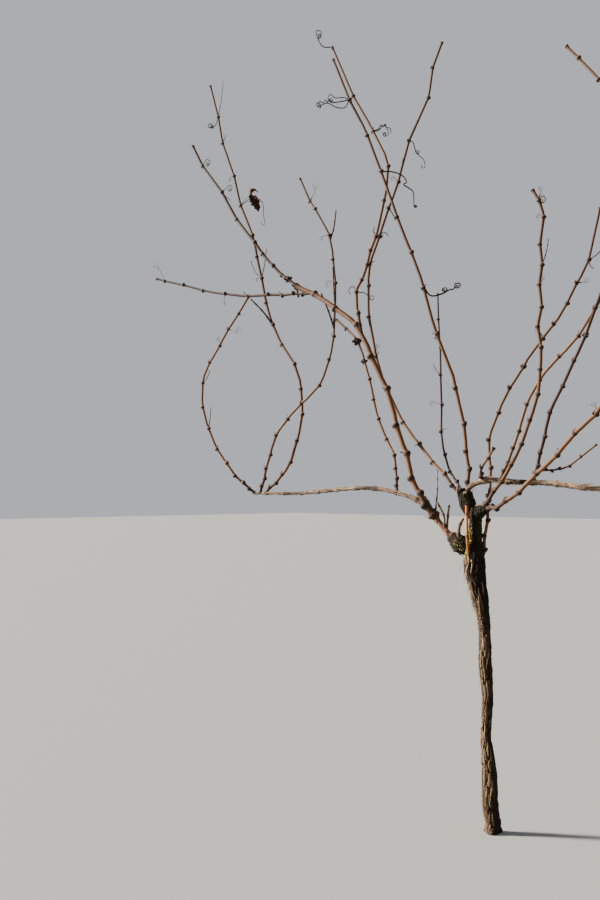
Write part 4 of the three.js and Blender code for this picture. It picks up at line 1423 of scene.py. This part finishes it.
class VineColours(bpy.types.PropertyGroup):
    """Colours of the vine's finishes."""

    bark: FloatVectorProperty(
        name="Trunk bark", description="Weathered bark of the trunk", subtype="COLOR",
        default=(0.054, 0.034, 0.020))
    bark_pale: FloatVectorProperty(
        name="Worn bark", description="Pale worn plates", subtype="COLOR",
        default=(0.21, 0.143, 0.084))
    # Dark colour for damp bark, and painted shade on the head and the side away from the light.
    damp: FloatVectorProperty(
        name="Damp bark and painted shade", description="Damp bark and painted shade of the head and the shaded side",
        subtype="COLOR", default=(0.010, 0.007, 0.005))
    arm: FloatVectorProperty(
        name="Arm bark", description="Smoother bark of the arm", subtype="COLOR",
        default=(0.16, 0.078, 0.050))
    old_cane: FloatVectorProperty(
        name="Old cane", description="Bark of the fruiting canes", subtype="COLOR",
        default=(0.105, 0.070, 0.047))
    cane: FloatVectorProperty(
        name="Young cane", description="One-year bark", subtype="COLOR",
        default=(0.112, 0.052, 0.022))
    joint: FloatVectorProperty(
        name="Cane joint", description="Dark bark of the joints", subtype="COLOR",
        default=(0.020, 0.010, 0.008))
    cut: FloatVectorProperty(
        name="Cut wood", description="Pruned stub", subtype="COLOR",
        default=(0.40, 0.135, 0.016))
    tendril: FloatVectorProperty(
        name="Tendril", description="Dried tendrils", subtype="COLOR",
        default=(0.012, 0.007, 0.006))
    moss: FloatVectorProperty(
        name="Moss", description="Moss on the head", subtype="COLOR",
        default=(0.040, 0.055, 0.012))
    lichen: FloatVectorProperty(
        name="Lichen", description="Yellow lichen below the arm", subtype="COLOR",
        default=(0.36, 0.31, 0.035))
    leaf: FloatVectorProperty(
        name="Dead leaf", description="Blade of the dead leaf", subtype="COLOR",
        default=(0.030, 0.011, 0.007))
    leaf_speckle: FloatVectorProperty(
        name="Leaf speckle", description="Paler speckle of the dead leaf", subtype="COLOR",
        default=(0.07, 0.028, 0.012))
    stalk: FloatVectorProperty(
        name="Leaf stalk", description="Stalk of the dead leaf", subtype="COLOR",
        default=(0.20, 0.14, 0.10))
    stalk_speckle: FloatVectorProperty(
        name="Stalk speckle", description="Darker speckle of the stalk", subtype="COLOR",
        default=(0.10, 0.06, 0.045))


class StageSettings(bpy.types.PropertyGroup):
    """The floor, the light and the camera's lens."""

    floor: FloatVectorProperty(
        name="Floor", description="Colour of the floor", subtype="COLOR",
        default=(0.20, 0.20, 0.197))
    sky: FloatVectorProperty(
        name="Surround", description="Colour of the light all round", subtype="COLOR",
        default=(0.86, 0.90, 0.96))
    surround: FloatProperty(
        name="Surround strength", description="Strength of the light all round", default=0.6)
    key: FloatProperty(
        name="Key light", description="Strength of the sunlight from the left", default=28.0)
    lens: FloatProperty(
        name="Lens", description="Focal length of the camera", default=50.0, unit="CAMERA")


def ring_shell(places, radii, sides):
    """Rings of points round a chain of places, without twist."""
    across = unit(np.array(SHELL_ACROSS))
    angles = np.arange(sides) / sides * math.tau
    last = len(places) - 1
    rings = []
    for order, (place, radius) in enumerate(zip(places, radii)):
        along = unit(places[min(order + 1, last)] - places[max(order - 1, 0)])
        across = unit(across - along * np.dot(across, along))
        ways = np.outer(np.cos(angles), across) + np.outer(np.sin(angles), np.cross(along, across))
        rings.append(place + radius * ways)
    return np.array(rings)


def column_rings():
    """Level rings of the trunk's column, with its flared foot and lumpy sides."""
    stations = np.array(LIMBS["trunk"])
    line = Line(stations[:, :3])
    last = len(stations) - 1
    angles = np.arange(TRUNK_SIDES) / TRUNK_SIDES * math.tau
    across = unit(np.array(TRUNK_ACROSS))
    third = np.cross((0.0, 0.0, 1.0), across)
    ways = np.outer(np.cos(angles), across) + np.outer(np.sin(angles), third)
    lobes = FLARE["depth"] * np.cos(FLARE["lobes"] * angles + FLARE["turn"])
    rings = []
    for share in np.linspace(0.0, 1.0, TRUNK_RINGS + 1):
        place = line.point(share)
        width = np.interp(share * last, np.arange(last + 1), stations[:, 3])
        low = max(0.0, 1 - place[2] / FLARE["height"])
        lumps = LUMPS["depth"] * np.sin(2 * angles + place[2] / LUMPS["pitch"])
        reach = width / 2 * (1 + low * (lobes - FLARE["tuck"]) + lumps)
        rings.append(place + reach[:, None] * ways)
    return np.array(rings)


def head_knobs(column, knuckles):
    """Rounded knobs half sunk in the head, where old shoots were cut."""
    draw = seeded_random(KNOBS["seed"])
    upper = column[column[:, :, 2].mean(axis=1) > KNOBS["above"]]
    turns = np.linspace(KNOBS["pole"], math.pi - KNOBS["pole"], KNOBS["rings"])
    shells = []
    for order in range(KNOBS["count"]):
        rings = (upper, *knuckles)[order % 3]
        row = int(draw() * (len(rings) - 1))
        middle = rings[row].mean(axis=0)
        skin = rings[row][int(draw() * (rings.shape[1] - 1))]
        radius = between(KNOBS["radius"], draw())
        centre = skin + (middle - skin) * KNOBS["sunk"]
        places = [centre + (0.0, 0.0, -math.cos(turn) * radius) for turn in turns]
        shells.append(ring_shell(places, radius * np.sin(turns), KNOBS["sides"]))
    return shells


def shells_mesh(name, shells):
    """One mesh of closed shells, each given as rings of points."""
    places = []
    faces = []
    for rings in shells:
        rows, sides = rings.shape[:2]
        start = len(places)
        places += rings.reshape(-1, 3).tolist()
        for low in range(start, start + (rows - 1) * sides, sides):
            for side in range(sides):
                turn = (side + 1) % sides
                faces.append((low + side, low + turn, low + sides + turn, low + sides + side))
        faces.append(tuple(range(start + sides - 1, start - 1, -1)))
        faces.append(tuple(range(start + (rows - 1) * sides, start + rows * sides)))
    mesh = bpy.data.meshes.new(name)
    mesh.from_pydata(places, [], faces)
    return mesh


def fused_mesh(name, mesh, voxel):
    """The mesh's overlapping shells fused into one even skin."""

    def set_up(remesh):
        remesh.mode = "VOXEL"
        remesh.voxel_size = voxel

    return plain_mesh(name, mesh, "REMESH", set_up)


def weather_trunk(mesh):
    """Stores on the trunk where it is damp and in painted shade, mossy, covered in lichen and shaggy.
    """
    ways = outward_array(mesh)
    height = point_array(mesh)[:, 2]

    def facing(x, y):
        return x * ways[:, 0] + y * ways[:, 1]

    def band(rise, fall):
        return smooth_step(height, *rise) * (1 - smooth_step(height, *fall))

    head = smooth_step(height, *HEAD_RISE)
    left = np.clip(facing(*LEFT_WAY), 0.0, 1.0)
    right = np.clip(facing(*RIGHT_WAY), 0.0, 1.0)
    steep = 1 - smooth_step(ways[:, 2], *TOP_RISE)
    # Painted shade, with some real damp: the head, the side away from the key light and the upper
    # trunk except its lit left side are darkened.
    shaded = smooth_step(facing(*SHADED_WAY), *SHADE_RISE)
    upper = smooth_step(height, *UPPER_SHADE_RISE) * (1 - smooth_step(left, *LEFT_LIT))
    shaggy = SHAG_LEAST + band(*SHOULDER) * between(SHAG_BY_SIDE, left)
    for label, values in (
            ("damp", np.clip(head + PAINTED_SHADE * shaded + upper, 0.0, 1.0)),
            ("moss", head * between(MOSS_BY_SIDE, right) * between(MOSS_BY_SLOPE, steep)),
            ("lichen", band(*LICHEN_BAND) * smooth_step(left, *LEFT_LICHEN)),
            ("shag", steep * band(*SHAGGY_BAND) * shaggy),
            ("grain", np.tile((0.0, 0.0, -1.0), (len(ways), 1)))):
        write_values(mesh, label, values)


def weather_limb(mesh, line, **masks):
    """Stores on a limb's points its grain and the masks, which depend on the length."""
    parts = np.linspace(0.0, 1.0, MASK_STEPS)
    marks = np.array([line.point_at(part) for part in parts])
    gaps = np.linalg.norm(point_array(mesh)[:, None, :] - marks[None, :, :], axis=2)
    nearest = np.argmin(gaps, axis=1)
    write_values(mesh, "grain", np.array([line.way_at(part) for part in parts])[nearest])
    for label, mask in masks.items():
        write_values(mesh, label, mask(parts[nearest]))


def arm_mask(head, knot):
    """A mask that fades away from the head and comes in again at the arm's knot."""

    def mask(part):
        return (head[0] * (1 - smooth_step(part, *head[1:]))
                + knot[0] * smooth_step(part, *knot[1:]))

    return mask


class VINE_OT_trunk(bpy.types.Operator):
    """Make the trunk with its bark, loose strips, moss and lichen"""

    bl_idname = "vine.trunk"
    bl_label = "Trunk"

    def execute(self, context):
        sizes = context.scene.vine_sizes
        colours = context.scene.vine_colours
        shells = [column_rings()]
        for stations in HEAD_KNUCKLES:
            spine = limb_spine(stations, step=0.003)
            shells.append(ring_shell(spine["places"], spine["girth"], SHELL_SIDES))
        for foot, end, radius in HEAD_STUBS:
            ends = [np.array(foot), np.array(end)]
            shells.append(ring_shell(ends, [radius * STUB_FLARE, radius], SHELL_SIDES))
        shells += head_knobs(shells[0], shells[1:3])
        trunk = fused_mesh("trunk", shells_mesh("trunk_shells", shells), sizes.voxel)
        places = point_array(trunk)
        axis = np.array(LIMBS["trunk"])
        places[:, 0] -= np.interp(places[:, 2], axis[:, 2], axis[:, 0])
        write_values(trunk, "limb_place", places)
        write_values(trunk, "outward", outward_array(trunk))
        weather_trunk(trunk)
        finish = bark_finish("Trunk bark", colours.bark, colours.bark_pale,
                             tinted(colours.bark, 0.22), colours)
        bark = grow("trunk_bark", trunk, bark_tree(), Material=finish,
                    Plate_width=sizes.plate_width, Plate_length=sizes.plate_length,
                    Plate_depth=sizes.plate_depth, Fibre_depth=0.0017, Lump_depth=0.0026)
        places = point_array(bark)
        places[:, 2] = np.where(places[:, 2] < FLAT_CUT, 0.0, places[:, 2])
        bark.vertices.foreach_set("co", places.astype(np.float32).ravel())
        bark.update()
        show("trunk_bark", bark, "trunk_bark", ["trunk"])
        loose = loose_finish("Loose bark", tinted(colours.bark_pale, 0.95),
                             tinted(colours.bark, 0.7))
        grow_piece("trunk_loose_bark", bark, strips_tree(), "trunk_bark", Material=loose,
                   Density=sizes.strip_density, Length=sizes.strip_length)
        for mask, colour, density in (("moss", colours.moss, 60000.0),
                                      ("lichen", colours.lichen, 90000.0)):
            grow_piece(f"trunk_{mask}", bark, tufts_tree(), "trunk_bark", Mask=mask,
                       Material=tuft_finish(f"trunk {mask}", colour), Density=density,
                       Size=sizes.tuft_size)
        return {"FINISHED"}


class VINE_OT_left_arm(bpy.types.Operator):
    """Make the old arm with its lump and knot"""

    bl_idname = "vine.left_arm"
    bl_label = "Left arm"

    def execute(self, context):
        colours = context.scene.vine_colours
        spine = limb_spine(LIMBS["left_arm"], step=0.0016)
        wood = grow("left_arm", spine_mesh("left_arm", [spine]), wood_tree(), Sides=56,
                    Rib_depth=0.06, Rib_count=1.6)
        weather_limb(wood, vine()["lines"]["left_arm"],
                     **{label: arm_mask(*ends) for label, ends in ARM_MASKS.items()})
        places = point_array(wood)
        patchy = np.sin(places[:, 0] * LICHEN_PITCH) * np.sin(places[:, 2] * LICHEN_PITCH + 1.0)
        away = np.linalg.norm(places - LICHEN_MIDDLE, axis=1)
        near = 1 - smooth_step(away, *LICHEN_REACH)
        write_values(wood, "lichen", near * smooth_step(patchy, 0.0, 0.5))
        finish = bark_finish("Arm bark", colours.arm, tinted(colours.arm, 1.4),
                             tinted(colours.arm, 0.12), colours, scale=1.4)
        bark = grow_piece("left_arm_bark", wood, bark_tree(), "trunk_bark", ["left_arm"],
                          Material=finish, Plate_width=0.006, Plate_length=0.045,
                          Plate_depth=0.0018, Fibre_depth=0.0007, Lump_depth=0.0036,
                          Lump_scale=75.0)
        grow_piece("left_arm_lichen", bark, tufts_tree(), "trunk_bark", Mask="lichen",
                   Material=tuft_finish("Arm lichen", colours.lichen), Density=60000.0, Seed=6,
                   Size=context.scene.vine_sizes.tuft_size)
        loose = loose_finish("Loose arm bark", tinted(colours.bark, 0.5),
                             tinted(colours.bark, 0.2))
        grow_piece("left_arm_loose_bark", bark, strips_tree(), "trunk_bark", Material=loose,
                   Density=9000.0, Length=0.02, Width=0.0032, Lift=0.004, Seed=7)
        return {"FINISHED"}


class VINE_OT_fruiting_canes(bpy.types.Operator):
    """Make the two old canes laid along the row, with their peeling bark"""

    bl_idname = "vine.fruiting_canes"
    bl_label = "Fruiting canes"

    def execute(self, context):
        colours = context.scene.vine_colours
        old = colours.old_cane
        finish = bark_finish("Old cane bark", old, tinted(old, 2.4), tinted(old, 0.25), colours,
                             scale=1.8)
        loose = loose_finish("Loose cane bark", tinted(old, 1.2), tinted(old, 0.6), 300.0)
        for name, seed, stain in (("left_fruiting_cane", 12, 0.34),
                                  ("right_fruiting_cane", 15, 0.22)):
            spine = limb_spine(LIMBS[name], step=0.0028, joint=0.078, swell=0.3)
            wood = grow(name, spine_mesh(name, [spine]), wood_tree(), Sides=26, Rib_depth=0.16,
                        Rib_count=1.5)

            def stained(part):
                wave = np.cos((part - stain) * STAIN["pitch"])
                return STAIN["depth"] * smooth_step(wave, *STAIN["edge"])

            weather_limb(wood, vine()["lines"][name], damp=stained, moss=np.zeros_like,
                         shag=lambda part: 1 - SHAG_LOSS * part)
            bark = grow_piece(f"{name}_bark", wood, bark_tree(), "old_cane_bark", [name],
                              Material=finish, Plate_width=0.0042, Plate_length=0.05,
                              Plate_depth=0.0015, Fibre_depth=0.0005, Lump_depth=0.0011,
                              Lump_scale=60.0)
            grow_piece(f"{name}_loose_bark", bark, strips_tree(), "old_cane_bark",
                       Material=loose, Density=4500.0, Length=0.026, Width=0.0024,
                       Thickness=0.0004, Lift=0.0018, Seed=seed)
        return {"FINISHED"}


class VINE_OT_pruned_wood(bpy.types.Operator):
    """Make the pruned stub, the short spurs and the cut faces"""

    bl_idname = "vine.pruned_wood"
    bl_label = "Pruned wood"

    def execute(self, context):
        colours = context.scene.vine_colours
        old = colours.old_cane
        stub = limb_spine(LIMBS["cut_stub"], step=0.002, joint=0.062, swell=0.16)
        finish = cane_finish("Cut stub bark", colours.cut, tinted(colours.cut, 0.3),
                             tinted(colours.cut, 1.35), roughness=0.5)
        grow_piece("cut_stub_wood", spine_mesh("cut_stub", [stub]), wood_tree(), "cut_wood",
                   ["cut_stub"], Material=finish, Sides=20, Rib_depth=0.05)
        spurs = []
        parts = np.linspace(0.0, 1.0, SPUR_RINGS)
        for foot, walk, thick in SPURS:
            line = Line(walked(foot, walk))
            every = SPUR_KNOTS["every"]
            along = parts * line.length / SPUR_KNOTS["step"] % every - every / 2
            spurs.append(line_spine(line, parts, thick, np.exp(-along ** 2), SPUR_KNOTS["swell"]))
        finish = cane_finish("Spur bark", tinted(old, 2.0), tinted(old, 0.5), tinted(old, 3.0),
                             roughness=0.7)
        grow_piece("pruned_spurs", spine_mesh("spurs", spurs), wood_tree(), "old_cane_bark",
                   Material=finish, Sides=12)
        ends = [(np.array(end), np.array(foot), radius * CUT_SHARE)
                for foot, end, radius in HEAD_STUBS]
        ends += [(wood["places"][-1], wood["places"][-3], wood["girth"][-1] * SPUR_CUT_SHARE)
                 for wood in (stub, *spurs)]
        cuts = []
        for place, behind, radius in ends:
            way = unit(place - behind)
            cuts.append(make_spine([place + way * step for step in CUT_STEPS],
                                   [radius, radius, radius * CUT_EDGE]))
        finish = cut_finish("Cut faces", tinted(old, 2.0, (1.0, 0.95, 1.0)), tinted(old, 0.5))
        grow_piece("pruning_cuts", spine_mesh("cuts", cuts), wood_tree(), "cut_wood",
                   Material=finish, Sides=14, Rib_depth=0.02)
        return {"FINISHED"}


class VINE_OT_canes(bpy.types.Operator):
    """Make the one-year canes, each jointed and ribbed"""

    bl_idname = "vine.canes"
    bl_label = "One-year canes"

    def execute(self, context):
        sizes = context.scene.vine_sizes
        colours = context.scene.vine_colours
        finishes = [cane_finish(f"Cane bark {order + 1}", tinted(colours.cane, factor, shift),
                                colours.joint, tinted(colours.cane, factor * 1.6, shift))
                    for order, (factor, shift) in enumerate(CANE_TINTS)]
        for order, cane in enumerate(vine()["canes"]):
            dark = cane.name in DARK_CANES
            finish = finishes[-1 if dark else order % (len(finishes) - 1)]
            grow_piece(f"{cane.name}_wood", spine_mesh(cane.name, [cane_spine(cane)]),
                       wood_tree(), "young_cane", [cane.name], Material=finish,
                       Sides=sizes.cane_sides, Rib_depth=sizes.rib_depth,
                       Bud_bulge=sizes.bud_bulge)
        return {"FINISHED"}


def stub_stations(node, reach):
    """A short broken stub that leaves a joint opposite its bud."""
    out = unit(node["bud"] * -node["hand"] + node["along"] * FINE["stub_lean"])
    foot = node["centre"]
    end = foot + out * (node["radius"] + reach)
    middle = (foot + end) / 2 + node["along"] * reach * FINE["stub_bow"]
    thick = node["radius"] * FINE["stub_thick"]
    return [(place, thick * share)
            for place, share in zip((foot, middle, end), FINE["stub_taper"])]


class VINE_OT_side_twigs(bpy.types.Operator):
    """Make the side twigs and the short broken stubs at the joints"""

    bl_idname = "vine.side_twigs"
    bl_label = "Side twigs"

    def execute(self, context):
        colours = context.scene.vine_colours
        canes = vine()["canes"]
        twigs = []
        for order, cane in enumerate(canes):
            twigs += cane.twigs
            draw = seeded_random(FINE["seed"] + order)
            for node in cane.nodes:
                chosen = draw() <= FINE["stub_chance"]
                reach = between(FINE["stub_reach"], draw())
                if chosen and node["distance"] >= FINE["start"] * cane.length:
                    twigs.append(stub_stations(node, reach))
        for name, joint, thick, walk in SEEN_TWIGS:
            places = walked(joint_place(name, joint), walk)
            radii = between(thick, np.linspace(0.0, 1.0, len(places))) / 2
            twigs.append(list(zip(places, radii)))
        for name, height, reach in KNOTTY_JOINTS:
            cane = next(cane for cane in canes if cane.name == name)
            node = min(cane.nodes, key=lambda node: abs(node["centre"][2] - height))
            radii = [share * reach for share in KNOT_TAPER]
            for heading, share in KNOT_STUBS:
                half = reach * share / 2
                places = walked(node["centre"], [(half, heading), (half, heading + KNOT_BEND)])
                twigs.append(list(zip(places, radii)))
        finish = cane_finish("Twig bark", tinted(colours.cane, 0.5), colours.joint,
                             tinted(colours.cane, 0.9))
        base = spine_mesh("side_twigs", [twig_spine(stations) for stations in twigs])
        grow_piece("side_twigs", base, wood_tree(), "young_cane", Material=finish, Sides=8)
        return {"FINISHED"}


class VINE_OT_buds(bpy.types.Operator):
    """Make a bud and a leaf scar at each joint"""

    bl_idname = "vine.buds"
    bl_label = "Buds"

    def execute(self, context):
        sizes = context.scene.vine_sizes
        joint = context.scene.vine_colours.joint
        buds = []
        scars = []
        for cane in vine()["canes"]:
            for node in cane.nodes:
                side = node["bud"] * node["hand"]
                along = node["along"]
                radius = node["radius"]
                size = between(BUD_SIZE, min(1.0, radius / BUD_FULL_ON))
                seat = node["centre"] + side * radius * BUD_SUNK
                if node["distance"] > cane.joint * FIRST_JOINT:
                    buds.append((seat, unit(along * BUD_LEAN + side), size))
                low = node["centre"] - along * radius * SCAR_BELOW + side * radius * SCAR_OUT
                scars.append((low, unit(side - along * SCAR_DROOP), radius / BUD_FULL_ON))
        dark = plain_finish("Bud scales", joint, tinted(joint, 2.2), roughness=0.75, scale=700.0)
        scar = plain_finish("Leaf scar", tinted(joint, 0.6), tinted(joint, 1.2), roughness=0.9,
                            scale=700.0)
        bud_size = {"Width": sizes.bud_width, "Length": sizes.bud_length, "Point": BUD_POINT}
        for name, seats, finish, size in (("buds", buds, dark, bud_size),
                                          ("leaf_scars", scars, scar, SCAR_SIZE)):
            places, ways, girths = zip(*seats)
            mesh = bpy.data.meshes.new(name)
            mesh.from_pydata(places, [], [])
            write_values(mesh, "way", ways)
            write_values(mesh, "girth", girths)
            grow_piece(name, mesh, buds_tree(), "young_cane", Material=finish, **size)
        return {"FINISHED"}


class VINE_OT_tendrils(bpy.types.Operator):
    """Make the dried tendrils"""

    bl_idname = "vine.tendrils"
    bl_label = "Tendrils"

    def execute(self, context):
        colour = context.scene.vine_colours.tendril
        spines = []
        for order, cane in enumerate(vine()["canes"]):
            spines += [tendril_spine(node, size) for node, size in cane.tendrils]
            taken = [id(node) for node, _ in cane.tendrils]
            draw = seeded_random(FINE["seed"] * 2 + order)
            for node in cane.nodes:
                chosen = draw() <= FINE["curl_chance"] and id(node) not in taken
                if chosen and node["distance"] >= TENDRIL["start"] * cane.length:
                    spines.append(tendril_spine(node, FINE["curl_size"]))
        for name, rows in SEEN_TENDRILS.items():
            for joint, thick, walk, curl in rows:
                places = walked(joint_place(name, joint), walk, curl)
                full = thick * TENDRIL_FULLNESS
                spines.append(walk_spine(places, (full, full * TENDRIL_END)))
        finish = plain_finish("Tendril", colour, tinted(colour, 2.0), roughness=0.7, scale=500.0)
        grow_piece("tendrils", spine_mesh("tendrils", spines), wood_tree(), "young_cane",
                   Material=finish, Sides=6, Rib_depth=0.03, Bud_bulge=0.0)
        return {"FINISHED"}


def leaf_rings(foot, walk, fold, across, widths):
    """Rings of a thin folded blade round its midrib, with a wavy, ragged edge."""
    line = Line(walked(foot, walk))
    across = unit(np.array(across))
    spread = np.linspace(-1.0, 1.0, LEAF["sides"])
    rings = []
    for share in np.linspace(0.0, 1.0, LEAF["rings"]):
        along = line.way_at(share)
        side = unit(across - along * np.dot(across, along))
        back = np.cross(along, side)
        width = np.interp(share, np.linspace(0.0, 1.0, len(widths)), widths)
        coarse, fine = LEAF["rags"]
        rags = math.sin(share * coarse) * math.sin(share * fine + LEAF["phase"])
        width *= 1 + LEAF["ragged"] * rags
        out, up = LEAF["waves"]
        wave = LEAF["wave"] * np.sin(spread * out + share * up) * np.abs(spread)
        depth = width * (fold * np.abs(spread) ** LEAF["dish"] + wave)
        sheet = line.point_at(share) + np.outer(spread * width, side) + np.outer(depth, back)
        half = back * LEAF["thick"] / 2
        rings.append(np.concatenate([sheet + half, sheet[::-1] - half]))
    return np.array(rings)


class VINE_OT_dead_leaf(bpy.types.Operator):
    """Make the one dead leaf that still hangs, with its stalk"""

    bl_idname = "vine.dead_leaf"
    bl_label = "Dead leaf"

    def execute(self, context):
        colours = context.scene.vine_colours
        walk = walked(joint_place(LEAF["on"], LEAF["joint"]), LEAF["stalk"])
        blades = [leaf_rings(walk[-1], **blade) for blade in LEAF_BLADES]
        leaf = shells_mesh("dead_leaf", blades)
        leaf.materials.append(plain_finish("Dead leaf", colours.leaf, colours.leaf_speckle,
                                           roughness=0.85, scale=190.0, bump=0.001))
        show("dead_leaf", leaf, "young_cane")
        finish = plain_finish("Leaf stalk", colours.stalk, colours.stalk_speckle, roughness=0.8,
                              scale=300.0)
        base = spine_mesh("stalk", [walk_spine(walk, LEAF["stalk_thick"])])
        grow_piece("leaf_stalk", base, wood_tree(), "young_cane", Material=finish, Sides=6)
        return {"FINISHED"}


class VINE_OT_stage(bpy.types.Operator):
    """Make the floor, the light and the camera"""

    bl_idname = "vine.stage"
    bl_label = "Stage"

    def execute(self, context):
        stage = context.scene.vine_stage
        objects = context.scene.collection.objects
        floor = bpy.data.meshes.new("floor")
        half = FLOOR_SIZE / 2
        corners = [(-half, -half, 0), (half, -half, 0), (half, half, 0), (-half, half, 0)]
        floor.from_pydata(corners, [], [(0, 1, 2, 3)])
        floor.materials.append(Finish("Floor", roughness=0.9).done(stage.floor))
        ground = bpy.data.objects.new("floor", floor)
        objects.link(ground)
        ground.location.z = -FLOOR_DROP
        world = bpy.data.worlds.new("Surround")
        context.scene.world = world
        world.use_nodes = True
        light = world.node_tree.nodes["Background"]
        light.inputs["Color"].default_value = (*stage.sky, 1.0)
        light.inputs["Strength"].default_value = stage.surround
        for name, (place, width, share, colour) in LAMPS.items():
            data = bpy.data.lights.new(name, "SUN")
            data.angle = math.radians(width)
            data.energy = stage.key * share
            data.color = colour
            lamp = bpy.data.objects.new(name, data)
            objects.link(lamp)
            lamp.location = place
            lamp.rotation_euler = (-Vector(place)).to_track_quat("-Z", "Y").to_euler()
        data = bpy.data.cameras.new("Camera")
        data.sensor_fit = "VERTICAL"
        data.sensor_height = SENSOR
        data.lens = stage.lens
        data.shift_y = CAMERA_SHIFT
        camera = bpy.data.objects.new("Camera", data)
        objects.link(camera)
        camera.location = CAMERA_PLACE
        camera.rotation_euler = Vector(CAMERA_WAY).to_track_quat("-Z", "Y").to_euler()
        context.scene.camera = camera
        return {"FINISHED"}


OPERATORS = (VINE_OT_trunk, VINE_OT_left_arm, VINE_OT_fruiting_canes, VINE_OT_pruned_wood,
             VINE_OT_canes, VINE_OT_side_twigs, VINE_OT_buds, VINE_OT_tendrils,
             VINE_OT_dead_leaf, VINE_OT_stage)


class VINE_PT_panel(bpy.types.Panel):
    """Lists the vine's settings and the steps that make it"""

    bl_idname = "VINE_PT_panel"
    bl_label = "Grapevine"
    bl_space_type = "VIEW_3D"
    bl_region_type = "UI"
    bl_category = "Grapevine"

    def draw(self, context):
        scene = context.scene
        for group in (scene.vine_sizes, scene.vine_colours, scene.vine_stage):
            box = self.layout.box()
            for label in group.__annotations__:
                box.prop(group, label)
        for operator in OPERATORS:
            self.layout.operator(operator.bl_idname)


CLASSES = (VineSizes, VineColours, StageSettings, *OPERATORS, VINE_PT_panel)


def register():
    for kind in CLASSES:
        bpy.utils.register_class(kind)
    bpy.types.Scene.vine_sizes = PointerProperty(type=VineSizes)
    bpy.types.Scene.vine_colours = PointerProperty(type=VineColours)
    bpy.types.Scene.vine_stage = PointerProperty(type=StageSettings)


def unregister():
    del bpy.types.Scene.vine_stage
    del bpy.types.Scene.vine_colours
    del bpy.types.Scene.vine_sizes
    for kind in reversed(CLASSES):
        bpy.utils.unregister_class(kind)


def main():
    """Makes every piece of the vine and the stage."""
    register()
    bpy.ops.vine.trunk()
    bpy.ops.vine.left_arm()
    bpy.ops.vine.fruiting_canes()
    bpy.ops.vine.pruned_wood()
    bpy.ops.vine.canes()
    bpy.ops.vine.side_twigs()
    bpy.ops.vine.buds()
    bpy.ops.vine.tendrils()
    bpy.ops.vine.dead_leaf()
    bpy.ops.vine.stage()


if __name__ == "__main__":
    main()
